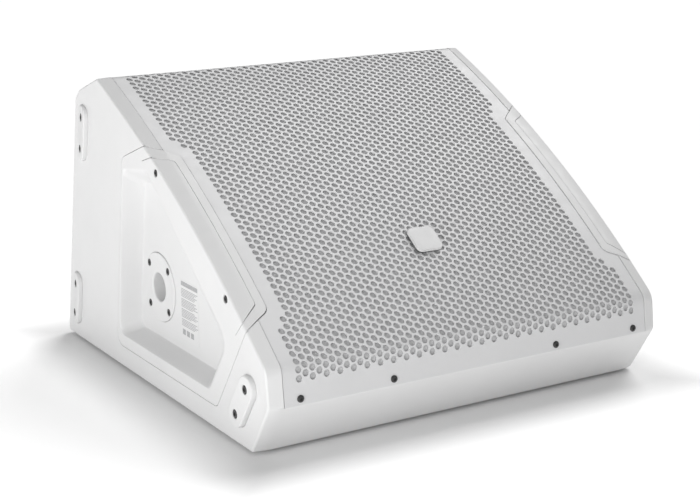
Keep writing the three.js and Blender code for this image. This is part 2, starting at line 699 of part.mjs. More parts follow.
function makePanel() {
  const plate = solidOf(box(PANEL_SIZE.x, PANEL_SIZE.y, PANEL_THICKNESS - GAP, 0, 0,
    PANEL_FACE - (PANEL_THICKNESS - GAP) / 2));
  const holes = [
    at(cylinder(12.3, -40, 10, 24), inputPlace),
    at(box(10, 6, 60, 0, LATCH_OFFSET, 0), inputPlace),
    at(cylinder(12.3, -40, 10, 24), linkPlace),
    at(cylinder(3.6, -40, 10, 12), levelPlace),
    at(cylinder(3.4, -40, 10, 12), buttonPlace),
    at(cylinder(2.6, -40, 10, 12), lampPlace),
    at(box(30, 22, 60), mainsPlace),
    at(box(28, 20, 60), switchPlace),
  ];
  return cutAll(plate, holes.map(solidOf));
}

// A round signal socket on a rectangular flange, with a plug well of the given bore.
function socketBody(bore, wellDepth) {
  const flange = solidOf(box(27, 36, 2, 0, 2, SEAT + 1));
  const barrel = solidOf(cylinder(12, SEAT - 24, SEAT + 1, 24));
  const well = solidOf(cylinder(bore, SEAT - wellDepth, SEAT + 5, 20));
  return flange.add(barrel).subtract(well);
}

function makeInputSocket() {
  const latchSlot = solidOf(box(8.8, 4.8, 20, 0, LATCH_OFFSET, SEAT));
  return socketBody(9.2, 18).subtract(latchSlot);
}

function makeLinkSocket() {
  const pins = [90, 210, 330].map((degrees) => {
    const angle = THREE.MathUtils.degToRad(degrees);
    const pin = cylinder(1.2, SEAT - 18, SEAT - 8, 8);
    return solidOf(pin.translate(4 * Math.cos(angle), 4 * Math.sin(angle), 0));
  });
  return pins.reduce((body, pin) => body.add(pin), socketBody(9.2, 17));
}

// A mains inlet: flange, body, a plug well and three blades that stand in it.
function makeMainsInlet() {
  const flange = solidOf(box(48, 30, 2.4, 0, 0, SEAT + 1.2));
  const body = solidOf(box(29, 21, 24, 0, 0, SEAT - 11));
  const well = solidOf(box(25, 17, 20, 0, 0, SEAT - 5));
  const blades = [[-7, -2], [7, -2], [0, 2.5]].map(([x, y]) => solidOf(box(2, 4, 10, x, y, SEAT - 11.5)));
  return blades.reduce((whole, blade) => whole.add(blade), flange.add(body).subtract(well));
}

function makeSwitchFrame() {
  const flange = solidOf(box(33, 25, 2, 0, 0, SEAT + 1));
  const body = solidOf(box(27, 19, 18, 0, 0, SEAT - 8));
  return flange.add(body).subtract(solidOf(box(23, 15, 30, 0, 0, SEAT + 1)));
}

// The rocker turns about an axis along the panel's width; its face has two slopes.
function rockerGeometry() {
  const outline = [
    [-6.4, -3], [6.4, -3], [6.4, 3.2], [0, 1.8], [-6.4, 0.8],
  ].map(([x, y]) => new THREE.Vector2(x, y));
  const toPanel = new THREE.Matrix4().makeBasis(
    new THREE.Vector3(0, 1, 0),
    new THREE.Vector3(0, 0, 1),
    new THREE.Vector3(1, 0, 0),
  );
  const shape = new THREE.Shape(outline);
  return new THREE.ExtrudeGeometry(shape, { depth: 21, bevelEnabled: false }).applyMatrix4(toPanel)
    .translate(-10.5, 0, 0);
}

function heatSinkGeometry() {
  const FINS = 14;
  const PITCH = 11;
  const FIN = 3;
  const outline = [new THREE.Vector2(0, 0), new THREE.Vector2((FINS - 1) * PITCH + FIN, 0)];
  for (let fin = FINS - 1; fin >= 0; fin -= 1) {
    const left = fin * PITCH;
    outline.push(new THREE.Vector2(left + FIN, 2.6));
    outline.push(new THREE.Vector2(left + FIN - 0.6, 9.5));
    outline.push(new THREE.Vector2(left + 0.6, 9.5));
    outline.push(new THREE.Vector2(left, 2.6));
  }
  const outlineUp = outline.filter((point, i) => i !== 2 && i !== outline.length - 1);
  const shape = new THREE.Shape(outlineUp);
  return new THREE.ExtrudeGeometry(shape, { depth: 160, bevelEnabled: false })
    .rotateX(Math.PI / 2).translate(-20, 80, SEAT);
}

// A circuit board on four posts, with blocks standing on its inner side.
function boardWithParts(width, height, standoff, parts) {
  const boardFace = -PANEL_RECESS - GAP - standoff;
  const board = solidOf(box(width, height, 1.6, 0, 0, boardFace - 0.8));
  const posts = [[-1, -1], [1, -1], [1, 1], [-1, 1]].map(([sx, sy]) =>
    solidOf(cylinder(3, boardFace - 1, -PANEL_RECESS - GAP, 8)
      .translate(sx * (width / 2 - 6), sy * (height / 2 - 6), 0)));
  const blocks = parts.map(([x, y, w, h, tall]) => solidOf(box(w, h, tall, x, y, boardFace - 1 - tall / 2)));
  return [...posts, ...blocks].reduce((whole, piece) => whole.add(piece), board);
}

addPiece('amp_panel', geometryOf(makePanel()), BLACK_STEEL, back);
addPiece('heat_sink', heatSinkGeometry(), ALUMINIUM, back);
addPiece('input_socket', geometryOf(makeInputSocket()), BLACK_PLASTIC, back)
  .position.set(inputPlace.x, inputPlace.y, 0);
addPiece('input_latch', box(8, 4, 8, 0, LATCH_OFFSET, SEAT), BLACK_PLASTIC, back)
  .position.set(inputPlace.x, inputPlace.y, 0);
addPiece('link_socket', geometryOf(makeLinkSocket()), BLACK_PLASTIC, back)
  .position.set(linkPlace.x, linkPlace.y, 0);
addPiece('level_knob', turned([
  [0, -22], [3, -22], [3, SEAT], [11, SEAT],
  [11, SEAT + 2], [8.4, SEAT + 3], [7.6, SEAT + 10.4], [0, SEAT + 10.4],
], 24), BLACK_PLASTIC, back).position.set(levelPlace.x, levelPlace.y, 0);
addPiece('preset_button', turned([
  [0, -18], [2.8, -18], [2.8, SEAT + 2.6], [2.2, SEAT + 3.2], [0, SEAT + 3.2],
], 16), WHITE_SHELL, back).position.set(buttonPlace.x, buttonPlace.y, 0);
addPiece('status_lamp', turned([
  [0, -17], [2.3, -17], [2.3, SEAT + 0.4], [1.4, SEAT + 1.4], [0, SEAT + 1.4],
], 12), LAMP, back).position.set(lampPlace.x, lampPlace.y, 0);
addPiece('mains_inlet', geometryOf(makeMainsInlet()), BLACK_PLASTIC, back)
  .position.set(mainsPlace.x, mainsPlace.y, 0);
addPiece('switch_frame', geometryOf(makeSwitchFrame()), BLACK_PLASTIC, back)
  .position.set(switchPlace.x, switchPlace.y, 0);
addPiece('power_rocker', rockerGeometry(), BLACK_PLASTIC, back)
  .position.set(switchPlace.x, switchPlace.y, SEAT + 1.2);
addPiece('amp_board', geometryOf(boardWithParts(130, 150, BOARD_STANDOFF, [
  [-30, 30, 40, 50, 22], [30, -20, 30, 60, 14], [20, 45, 24, 24, 18],
])), GREEN_BOARD, back).position.set(-55, 0, 0);
addPiece('power_supply', geometryOf(boardWithParts(110, 150, BOARD_STANDOFF, [
  [-15, 35, 56, 50, 34], [25, -35, 30, 30, 26], [-20, -40, 34, 34, 20],
])), GREEN_BOARD, back).position.set(85, 0, 0);

export default monitor;
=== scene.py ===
"""Looks of a white stage monitor wedge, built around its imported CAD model."""
import bisect
import json
from math import atan, cos, hypot, pi, radians, sin, sqrt, tan

import bmesh
import bpy
from mathutils import Matrix, Vector
from mathutils.geometry import delaunay_2d_cdt


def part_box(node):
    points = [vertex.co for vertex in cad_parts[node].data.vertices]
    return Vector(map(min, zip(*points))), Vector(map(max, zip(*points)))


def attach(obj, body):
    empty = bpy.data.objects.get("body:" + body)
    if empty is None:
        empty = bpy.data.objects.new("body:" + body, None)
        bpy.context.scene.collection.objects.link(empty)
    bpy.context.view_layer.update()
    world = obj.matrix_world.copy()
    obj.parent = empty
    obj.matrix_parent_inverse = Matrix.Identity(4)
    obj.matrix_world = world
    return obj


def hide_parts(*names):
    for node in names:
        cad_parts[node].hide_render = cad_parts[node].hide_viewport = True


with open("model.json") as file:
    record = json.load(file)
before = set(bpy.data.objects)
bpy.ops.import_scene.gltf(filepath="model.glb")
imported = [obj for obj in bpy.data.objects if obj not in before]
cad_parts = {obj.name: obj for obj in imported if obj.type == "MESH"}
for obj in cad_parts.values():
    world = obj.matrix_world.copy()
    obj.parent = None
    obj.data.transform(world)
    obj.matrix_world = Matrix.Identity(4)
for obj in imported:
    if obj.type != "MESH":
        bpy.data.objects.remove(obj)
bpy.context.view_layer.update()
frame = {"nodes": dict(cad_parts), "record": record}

# ---- sizes, in millimetres
MM = 0.001
HALF_WIDTH = 278
FRONT_HALF_WIDTH = 259.5
CHAMFER_DEPTH = 4.1
FLOOR_GAP = 4
WALL = 12
SEAM = 0.55              # width of the seams between neighbouring mouldings
EDGE = 0.5               # rounding of a moulding's cut edges
SIDE_ROUND = 2.6         # rounding between a side face and what surrounds it

# The front bulges gently; places on it are distances down it from the reference point.
FRONT_RADIUS = 1647
FRONT_REFERENCE = Vector((-104, 240.6))
FRONT_SLOPE = radians(32.5)
FRONT_TOP = -285
FRONT_BEND = 219.8       # where it turns into the kick strip
FRONT_STEPS = 44
TOP_STEPS = 8
BEND_STEPS = 10

# Corners of the cabinet's outline, in Y and Z.
KICK_BOTTOM = Vector((-286.6, 65.5))
UNDERCUT_FOOT = Vector((-248, FLOOR_GAP))
BACK_HEEL = Vector((286.6, FLOOR_GAP))
BACK_SHOULDER = Vector((226.3, 336.3))
TOP_BACK = Vector((212.5, 348.2))

# Distances of faces inside the hand recess from the middle plane.
TRAY_INNER_FACE = 243
RECESS_FLOOR = 249.5
GRIP_INNER_FACE = 254

PITCH = 10.2             # between the grille's holes
COLUMN_STEP = PITCH * sqrt(3) / 2
ROW_STEP = PITCH / 2
HOLE_WIDTH = 8.1         # across a hole's flats
GRILLE_SETBACK = 0.9     # below the frame at the sides, nothing at the ends
SETBACK_FADE = 25        # length over which that fades
GRILLE_THICKNESS = 1.5
FOAM_THICKNESS = 6
BADGE_POSITION = 83
BADGE_SIZE = 37

BAFFLE_MIDDLE = -46
BAFFLE_DEPTH = 32
BAFFLE_THICKNESS = 18
BAFFLE_HALF_LENGTH = 222
BAFFLE_HALF_WIDTH = 242
DRIVER_DROP = 10

PANEL_HEIGHT = 170
PANEL_SIZE = (350, 210)
PANEL_RECESS = 14
PANEL_THICKNESS = 3

POLE_CENTRE = (45, 120)
POLE_BORE = 18
POLE_FLANGE_RADIUS = 44
POLE_DEPTH = 80

# The row frame's place of the cabinet's own origin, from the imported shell.
shell_low, shell_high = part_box("cabinet_shell")
ORIGIN = Vector((
    (shell_low.x + shell_high.x) / 2,
    shell_high.y - BACK_HEEL.x * MM,
    shell_low.z - FLOOR_GAP * MM,
))
TO_ROW = Matrix.Translation(ORIGIN) @ Matrix.Scale(MM, 4)


# ---- materials
def put(node, socket, value):
    node.inputs[socket].default_value = value


def material(name, colour, roughness, **look):
    """A procedural finish: mottled colour, uneven roughness and a fine bump.

    grain is the size of the bump's grain in metres and bump its height. mottle is how far the colour strays,
    and patch the size of the patches in which it does.
    """
    made = bpy.data.materials.new(name)
    made.use_nodes = True
    nodes = made.node_tree.nodes
    links = made.node_tree.links
    shader = nodes["Principled BSDF"]
    put(shader, "Metallic", look.get("metal", 0.0))
    put(shader, "Specular IOR Level", look.get("specular", 0.5))
    put(shader, "Coat Weight", look.get("coat", 0.0))
    put(shader, "Coat Roughness", 0.2)
    place = nodes.new("ShaderNodeTexCoord")

    def noise(size, detail):
        texture = nodes.new("ShaderNodeTexNoise")
        put(texture, "Scale", 1 / size)
        put(texture, "Detail", detail)
        put(texture, "Roughness", 0.55)
        links.new(place.outputs["Object"], texture.inputs["Vector"])
        return texture

    def ramp(texture, middle, stray):
        spread = nodes.new("ShaderNodeMapRange")
        put(spread, "From Min", 0.3)
        put(spread, "From Max", 0.7)
        put(spread, "To Min", middle - stray)
        put(spread, "To Max", middle + stray)
        links.new(texture.outputs["Fac"], spread.inputs["Value"])
        return spread

    shade = ramp(noise(look.get("patch", 0.06), 4), 1, look.get("mottle", 0.02))
    tint = nodes.new("ShaderNodeMix")
    tint.data_type = "RGBA"
    tint.blend_type = "MULTIPLY"
    put(tint, "Factor", 1)
    put(tint, "A", (*colour, 1))
    links.new(shade.outputs["Result"], tint.inputs["B"])
    links.new(tint.outputs["Result"], shader.inputs["Base Color"])

    grain = noise(look.get("grain", 0.0008), 3)
    sheen = ramp(noise(0.02, 3), roughness, 0.05)
    links.new(sheen.outputs["Result"], shader.inputs["Roughness"])
    bump = nodes.new("ShaderNodeBump")
    put(bump, "Strength", look.get("strength", 0.5))
    put(bump, "Distance", look.get("bump", 0.00004))
    links.new(grain.outputs["Fac"], bump.inputs["Height"])
    links.new(bump.outputs["Normal"], shader.inputs["Normal"])
    return made


FINISHES = {
    "shell_white": material(
        "shell_white_paint", (0.77, 0.77, 0.77), 0.42, mottle=0.012, grain=0.0011, bump=0.00005),
    "grille_white": material(
        "grille_white_powder", (0.74, 0.74, 0.745), 0.4, mottle=0.015, grain=0.0009, bump=0.00003),
    "foot_white": material(
        "foot_white_rubber", (0.78, 0.78, 0.78), 0.55, mottle=0.02, grain=0.0007, bump=0.00005),
    "screw_black": material(
        "screw_black_oxide", (0.06, 0.06, 0.06), 0.36, metal=0.5, mottle=0.1, patch=0.004, grain=0.0004,
        bump=0.00001),
    "panel_black": material(
        "panel_black_powder", (0.036, 0.036, 0.038), 0.5, mottle=0.1, grain=0.0006, bump=0.00006),
    "plastic_black": material(
        "plastic_black_moulded", (0.02, 0.02, 0.021), 0.42, mottle=0.08, grain=0.0007),
    "rubber_black": material(
        "rubber_black", (0.018, 0.018, 0.018), 0.75, mottle=0.12, grain=0.0009, bump=0.00008),
    "foam_grey": material(
        "foam_grey_open_cell", (0.58, 0.58, 0.585), 0.95, mottle=0.10, patch=0.006, grain=0.0012,
        bump=0.0009, strength=0.9, specular=0.2),
    "board_wood": material("board_birch", (0.46, 0.33, 0.18), 0.7, mottle=0.16, patch=0.03, grain=0.002),
    "cone_paper": material(
        "cone_paper_pulp", (0.03, 0.03, 0.032), 0.85, mottle=0.2, patch=0.008, grain=0.001, bump=0.0001),
    "steel_bare": material("steel_zinc", (0.55, 0.56, 0.58), 0.32, metal=0.95, mottle=0.08, patch=0.01),
    "ferrite": material("ferrite_ring", (0.05, 0.05, 0.055), 0.6, mottle=0.15, patch=0.01, grain=0.0006),
    "aluminium_bare": material(
        "aluminium_extruded", (0.62, 0.63, 0.65), 0.36, metal=0.95, mottle=0.05, patch=0.015),
    "board_green": material("circuit_board_green", (0.015, 0.09, 0.035), 0.4, mottle=0.2, patch=0.008),
    "spider_cloth": material(
        "spider_cloth_amber", (0.50, 0.30, 0.06), 0.85, mottle=0.12, patch=0.004, bump=0.0001),
    "lamp_green": material("lamp_green_lens", (0.08, 0.55, 0.14), 0.18, mottle=0.05, coat=0.6),
    "label_film": material(
        "label_film_white", (0.78, 0.78, 0.78), 0.36, mottle=0.01, grain=0.002, bump=0.00001),
}
INK = material("label_ink_grey", (0.42, 0.42, 0.43), 0.5, mottle=0.25, patch=0.002)

slot_of_node = {part["node"]: part["material_slot"] for part in frame["record"]["subparts"]}
for node_name, node in frame["nodes"].items():
    node.data.materials.clear()
    node.data.materials.append(FINISHES[slot_of_node[node_name]])


# ---- outlines in the Y-Z plane
def meet(point_a, along_a, point_b, along_b):
    reach = (point_b - point_a).cross(along_b) / along_a.cross(along_b)
    return point_a + along_a * reach


def quarter_arc(steps):
    """The (cosine, sine) of angles from 0 to 90 degrees."""
    angles = [pi / 2 * step / steps for step in range(steps + 1)]
    return [(cos(angle), sin(angle)) for angle in angles]


def turned_by(vector, angle):
    return Matrix.Rotation(angle, 2) @ vector


def rounded(corners):
    """A closed outline from (point, radius, steps) corners; a corner with a radius becomes an arc."""
    corners = [(Vector(corner), radius, steps) for corner, radius, steps in corners]
    outline = []
    for i, (corner, radius, steps) in enumerate(corners):
        if not radius:
            outline.append(corner.copy())
            continue
        before = (corners[i - 1][0] - corner).normalized()
        after = (corners[(i + 1) % len(corners)][0] - corner).normalized()
        half = before.angle(after) / 2
        centre = corner + (before + after).normalized() * (radius / sin(half))
        start = corner + before * (radius / tan(half)) - centre
        turn = -1 if before.cross(after) > 0 else 1
        for step in range(steps + 1):
            outline.append(centre + turned_by(start, turn * (pi - 2 * half) * step / steps))
    return outline


def signed_area(outline):
    return sum(a.cross(b) for a, b in zip(outline, outline[1:] + outline[:1])) / 2


def opened(outline, gap, top, bottom):
    """An outline grown by a seam's width, with more added at its top and bottom ends."""
    return [Vector((p.x, p.y - top if p.y < 0 else p.y + bottom)) for p in grown(outline, gap)]


def grown(outline, distance):
    """The outline with every edge moved outwards."""
    side = 1 if signed_area(outline) > 0 else -1
    edges = []
    for a, b in zip(outline, outline[1:] + outline[:1]):
        along = (b - a).normalized()
        edges.append((a + Vector((along.y, -along.x)) * distance * side, along))
    moved = []
    for i, (point, along) in enumerate(edges):
        before, before_along = edges[i - 1]
        if abs(before_along.cross(along)) < 1e-5:
            moved.append(point)
        else:
            moved.append(meet(before, before_along, point, along))
    return moved


def front_heading(along):
    return FRONT_SLOPE + along / FRONT_RADIUS


def inwards(heading):
    return Vector((sin(heading), -cos(heading)))


def front_point(along, depth=0):
    centre = FRONT_REFERENCE + inwards(FRONT_SLOPE) * FRONT_RADIUS
    return centre + inwards(front_heading(along)) * (depth - FRONT_RADIUS)


def front_tangent(along):
    heading = front_heading(along)
    return Vector((-cos(heading), -sin(heading)))


kick_top = front_point(FRONT_BEND)
kick_along = (KICK_BOTTOM - kick_top).normalized()
kick_inwards = Vector((-kick_along.y, kick_along.x))
undercut_along = (UNDERCUT_FOOT - KICK_BOTTOM).normalized()
undercut_inwards = Vector((-undercut_along.y, undercut_along.x))
top_along = (TOP_BACK - front_point(FRONT_TOP)).normalized()
LAST_ARC_POINT = FRONT_BEND - 20


def cabinet_outline(inset, top_radius, bend_radius, kick_radius):
    """The cabinet's outline, from its top front edge down the front and back round by the floor."""
    kick_point = KICK_BOTTOM + kick_inwards * inset
    undercut_point = KICK_BOTTOM + undercut_inwards * inset
    top_front = meet(front_point(FRONT_TOP, inset), front_tangent(FRONT_TOP), TOP_BACK, top_along)
    corners = [(top_front, top_radius, TOP_STEPS)]
    first = FRONT_TOP + 12
    for step in range(FRONT_STEPS + 1):
        along = first + (LAST_ARC_POINT - first) * step / FRONT_STEPS
        corners.append((front_point(along, inset), 0, 0))
    bend = meet(corners[-1][0], front_tangent(FRONT_BEND - 10), kick_point, kick_along)
    corners += [
        (bend, bend_radius, BEND_STEPS),
        (meet(kick_point, kick_along, undercut_point, undercut_along), kick_radius, 8),
        (meet(undercut_point, undercut_along, UNDERCUT_FOOT, Vector((1, 0))), 4, 4),
        (BACK_HEEL, 6, 6),
        (BACK_SHOULDER, 6, 5),
        (TOP_BACK, 6, 4),
    ]
    return rounded(corners)


front_outline = cabinet_outline(0, 12, 16, 8)
side_outline = cabinet_outline(CHAMFER_DEPTH, 7, 26, 12)
RUN_POINTS = TOP_STEPS + 1 + FRONT_STEPS + 1 + BEND_STEPS + 1


class FrontRun:
    """The run over the top edge, down the front and over the lower bend, by distance along it."""

    def __init__(self, points):
        self.points = points
        lengths = [0.0]
        for a, b in zip(points, points[1:]):
            lengths.append(lengths[-1] + (b - a).length)
        reference = lengths[TOP_STEPS + 2 + FRONT_STEPS] - LAST_ARC_POINT
        self.lengths = [length - reference for length in lengths]
        self.normals = []
        last = len(points) - 1
        for i in range(len(points)):
            along = (points[min(i + 1, last)] - points[max(i - 1, 0)]).normalized()
            self.normals.append(Vector((-along.y, along.x)))

    def at(self, along, depth=0):
        i = bisect.bisect(self.lengths, along) - 1
        i = max(0, min(i, len(self.points) - 2))
        share = (along - self.lengths[i]) / (self.lengths[i + 1] - self.lengths[i])
        point = self.points[i].lerp(self.points[i + 1], share)
        normal = self.normals[i].lerp(self.normals[i + 1], max(0, min(1, share))).normalized()
        return point + normal * depth


run_points = front_outline[:RUN_POINTS]
run_points.insert(0, run_points[0] + top_along * 30)
run_points.append(KICK_BOTTOM.copy())
run = FrontRun(run_points)
RUN_TOP_END = run.lengths[1]       # where the rounded top edge runs into the top face
RUN_BOTTOM = run.lengths[-1]
GRILLE_TOP = RUN_TOP_END - 9       # the sheet ends just over the top edge
GRILLE_BOTTOM = RUN_BOTTOM - 0.6


def sheet_setback(along):
    """How far the grille lies below its frame, fading out where the sheet ends."""
    share = min(1, (GRILLE_BOTTOM - along) / SETBACK_FADE, (along - GRILLE_TOP) / SETBACK_FADE)
    return 0.02 + GRILLE_SETBACK * max(0, share)


# ---- mesh building
scratch = []


def placed(name, data):
    made = bpy.data.objects.new(name, data)
    bpy.context.scene.collection.objects.link(made)
    return made


def solid(vertices, faces):
    mesh = bpy.data.meshes.new("tool")
    mesh.from_pydata([tuple(v) for v in vertices], [], faces)
    mesh.validate()
    shape = bmesh.new()
    shape.from_mesh(mesh)
    bmesh.ops.remove_doubles(shape, verts=shape.verts, dist=1e-5)
    bmesh.ops.recalc_face_normals(shape, faces=shape.faces)
    shape.to_mesh(mesh)
    shape.free()
    made = placed("tool", mesh)
    scratch.append(made)
    return made


def stack(layers, matrix=Matrix.Identity(4)):
    """A closed skin through outlines of equal length, given as lists of local points."""
    count = len(layers[0])
    vertices = [matrix @ Vector(p) for layer in layers for p in layer]
    faces = []
    for s in range(len(layers) - 1):
        for i in range(count):
            j = (i + 1) % count
            faces.append((s * count + i, s * count + j, (s + 1) * count + j, (s + 1) * count + i))
    faces.append(tuple(range(count)))
    faces.append(tuple((len(layers) - 1) * count + i for i in range(count)))
    return solid(vertices, faces)


def loft(sections):
    """A closed skin through (x, outline) sections, each in a plane of constant X."""
    return stack([[(x, p.x, p.y) for p in outline] for x, outline in sections])


def prism(outline, low_x, high_x):
    return loft([(low_x, outline), (high_x, outline)])


def block(size, centre, matrix=Matrix.Identity(4)):
    w, d, h = (v / 2 for v in size)
    corners = [(x, y, z) for x in (-w, w) for y in (-d, d) for z in (-h, h)]
    vertices = [matrix @ (Vector(c) + Vector(centre)) for c in corners]
    faces = [(0, 1, 3, 2), (4, 6, 7, 5), (0, 4, 5, 1), (2, 3, 7, 6), (0, 2, 6, 4), (1, 5, 7, 3)]
    return solid(vertices, faces)


def revolve(profile, segments, matrix):
    """A piece turned about Z from (radius, height) points, of which the first and last are on the axis."""
    vertices = []
    rings = []
    for radius, height in profile:
        if not radius:
            rings.append([len(vertices)])
            vertices.append(matrix @ Vector((0, 0, height)))
            continue
        rings.append(list(range(len(vertices), len(vertices) + segments)))
        for k in range(segments):
            angle = 2 * pi * k / segments
            vertices.append(matrix @ Vector((radius * cos(angle), radius * sin(angle), height)))
    faces = []
    for a, b in zip(rings, rings[1:]):
        for k in range(segments):
            n = (k + 1) % segments
            if len(a) == 1:
                faces.append((a[0], b[k], b[n]))
            elif len(b) == 1:
                faces.append((a[k], b[0], a[n]))
            else:
                faces.append((a[k], b[k], b[n], a[n]))
    return solid(vertices, faces)


def cylinder(radius, low, high, segments, matrix):
    return revolve([(0, low), (radius, low), (radius, high), (0, high)], segments, matrix)


def combine(base, tool, kind="DIFFERENCE"):
    cut = base.modifiers.new("cut", "BOOLEAN")
    cut.object = tool
    cut.operation = kind
    cut.solver = "EXACT"
    depsgraph = bpy.context.evaluated_depsgraph_get()
    mesh = bpy.data.meshes.new_from_object(base.evaluated_get(depsgraph))
    base.modifiers.clear()
    base.data = mesh
    return base


def discard(*tools):
    for tool in tools:
        scratch.remove(tool)
        bpy.data.objects.remove(tool)


def copied(made, mirror=False):
    twin = placed("tool", made.data.copy())
    scratch.append(twin)
    if mirror:
        twin.data.transform(Matrix.Scale(-1, 4, (1, 0, 0)))
        twin.data.flip_normals()
    return twin


def round_edges(made, width, keep=None, limit=35):
    """Bevels the edges sharper than the limit, except those whose middle keep() says to leave."""
    shape = bmesh.new()
    shape.from_mesh(made.data)
    bmesh.ops.remove_doubles(shape, verts=shape.verts, dist=0.004)
    bmesh.ops.dissolve_degenerate(shape, edges=shape.edges, dist=0.004)
    bmesh.ops.dissolve_limit(shape, angle_limit=radians(0.4), verts=shape.verts, edges=shape.edges)
    sharp = []
    for edge in shape.edges:
        if len(edge.link_faces) != 2 or edge.calc_face_angle(0) < radians(limit):
            continue
        if keep and keep((edge.verts[0].co + edge.verts[1].co) / 2):
            continue
        sharp.append(edge)
    bmesh.ops.bevel(shape, geom=sharp, offset=width, segments=2, profile=0.5, affect="EDGES",
                    clamp_overlap=False, loop_slide=True)
    bmesh.ops.remove_doubles(shape, verts=shape.verts, dist=0.002)
    shape.to_mesh(made.data)
    shape.free()
    return made


def publish(made, name, slot, nodes=(), body="cabinet", finish=None, sharp=40, weighted=True):
    """Turns scratch geometry into a piece of the object, in the row frame."""
    if made in scratch:
        scratch.remove(made)
    made.name = name
    made.data.name = name
    made.data.transform(TO_ROW)
    made.data.materials.clear()
    made.data.materials.append(finish or FINISHES[slot])
    made.data.shade_smooth()
    made.data.set_sharp_from_angle(angle=radians(sharp))
    if weighted:
        weights = made.modifiers.new("weighted", "WEIGHTED_NORMAL")
        weights.keep_sharp = True
    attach(made, body)
    if nodes:
        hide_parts(*nodes)
    return made


# ---- cabinet body
def body_section(x):
    share = max(0, (abs(x) - FRONT_HALF_WIDTH) / (HALF_WIDTH - FRONT_HALF_WIDTH))
    return [a.lerp(b, share) for a, b in zip(front_outline, side_outline)]


def body_sections():
    sections = []
    for step in range(6):
        angle = pi / 2 * (1 - step / 5)
        x = HALF_WIDTH - SIDE_ROUND * (1 - sin(angle))
        sections.append((-x, grown(body_section(x), -SIDE_ROUND * (1 - cos(angle)))))
    sections.append((-FRONT_HALF_WIDTH, front_outline))
    return sections + [(-x, outline) for x, outline in reversed(sections)]


def front_prism(outline, from_depth, to_depth):
    """A solid over an outline of (x, distance down the front), between two depths."""
    dense = []
    for a, b in zip(outline, outline[1:] + outline[:1]):
        parts = max(1, int((b - a).length / 8))
        dense += [a.lerp(b, k / parts) for k in range(parts)]
    count = len(dense)
    vertices = []
    for depth in (from_depth, to_depth):
        for p in dense:
            place = run.at(p.y, depth)
            vertices.append((p.x, place.x, place.y))
    edges = [(i, (i + 1) % count) for i in range(count)]
    triangles = delaunay_2d_cdt(dense, edges, [], 1, 1e-5)[2]
    faces = [tuple(t) for t in triangles]
    faces += [tuple(count + i for i in reversed(t)) for t in triangles]
    faces += [(i, (i + 1) % count, count + (i + 1) % count, count + i) for i in range(count)]
    return solid(vertices, faces)


EDGE_DEPTH = CHAMFER_DEPTH + 0.15
FRONT_PRISM_DEPTH = CHAMFER_DEPTH + 0.8
OUTSIDE = HALF_WIDTH + 20
SIDES = ((-1, "left"), (1, "right"))

tray_front = rounded([
    ((-300, -158.3), 0, 0),
    ((-242.8, -108.1), 7, 4),
    ((-242.8, 143.0), 13, 8),
    ((-300, 176.3), 0, 0),
])
grip_front = rounded([
    ((-300, -132.5), 0, 0),
    ((-264, -106), 6, 3),
    ((-254, -100.5), 5, 4),
    ((-254, 132.5), 5, 5),
    ((-300, 170.6), 0, 0),
])
TRAY_EDGE_TOP = -139
TRAY_EDGE_BOTTOM = 163.5
GRIP_EDGE_TOP = -116.3
GRIP_EDGE_BOTTOM = 152.4
GRIP_DROP = 0.35         # the grip's front lies this far below the insert's


def edge_points(first, last):
    """Points just under the chamfer's outer edge, from the top down."""
    steps = 24
    return [run.at(first + (last - first) * k / steps, EDGE_DEPTH) for k in range(steps + 1)]


def tray_side():
    edge = edge_points(TRAY_EDGE_TOP, TRAY_EDGE_BOTTOM)
    corners = [(p, 0, 0) for p in edge]
    corners += [
        ((-160.6, 31.7), 12, 8),
        ((119.1, 31.7), 14, 8),
        ((83.6, 281.3), 14, 8),
    ]
    return rounded(corners)


GRIP_FADE_TOP = Vector((24, 287.3))
GRIP_FADE_BOTTOM = Vector((-210.1, 131.8))
MOUTH_TOP = Vector((12, 278.4))
MOUTH_LOW = Vector((-191.6, 117.6))


def grip_side(gap):
    """The grip's outline; only its two short seams open up, its inner edge closes without one."""
    edge = edge_points(GRIP_EDGE_TOP, GRIP_EDGE_BOTTOM)
    top_normal = (GRIP_FADE_TOP - edge[0]).normalized()
    top_normal = Vector((-top_normal.y, top_normal.x)) * gap
    low_normal = (GRIP_FADE_BOTTOM - edge[-1]).normalized()
    low_normal = Vector((low_normal.y, -low_normal.x)) * gap
    if top_normal.y < 0:
        top_normal.negate()
    if low_normal.y > 0:
        low_normal.negate()
    start, end = edge[0] + top_normal, edge[-1] + low_normal
    outline = [start, *edge[1:-1], end]
    if gap:
        outline += [GRIP_FADE_BOTTOM + low_normal]
    outline += [GRIP_FADE_BOTTOM, MOUTH_LOW, MOUTH_TOP, GRIP_FADE_TOP]
    if gap:
        outline += [GRIP_FADE_TOP + top_normal]
    return outline


def insert_tool(front, side, inner_x, from_depth=-10):
    """What an insert takes from the cabinet: its front patch and its side patch together."""
    tool = prism(side, -OUTSIDE, -inner_x)
    patch = front_prism(front, from_depth, FRONT_PRISM_DEPTH)
    combine(tool, patch, "UNION")
    discard(patch)
    return tool


# The hand recess is lofted from its mouth to its floor along a soft S-shaped wall.
mouth = rounded([
    (MOUTH_TOP, 15, 8),
    (MOUTH_LOW, 20, 8),
    ((-144.8, 47.9), 15, 8),
    ((109, 47.9), 12, 8),
    ((82.6, 268), 10, 8),
])
floor_edge = rounded([
    ((27.5, 250), 22, 8),
    ((-128, 97.8), 24, 8),
    ((-112, 55.5), 12, 8),
    ((105, 55.5), 12, 8),
    ((79, 246), 12, 8),
])
WALL_STEPS = 14


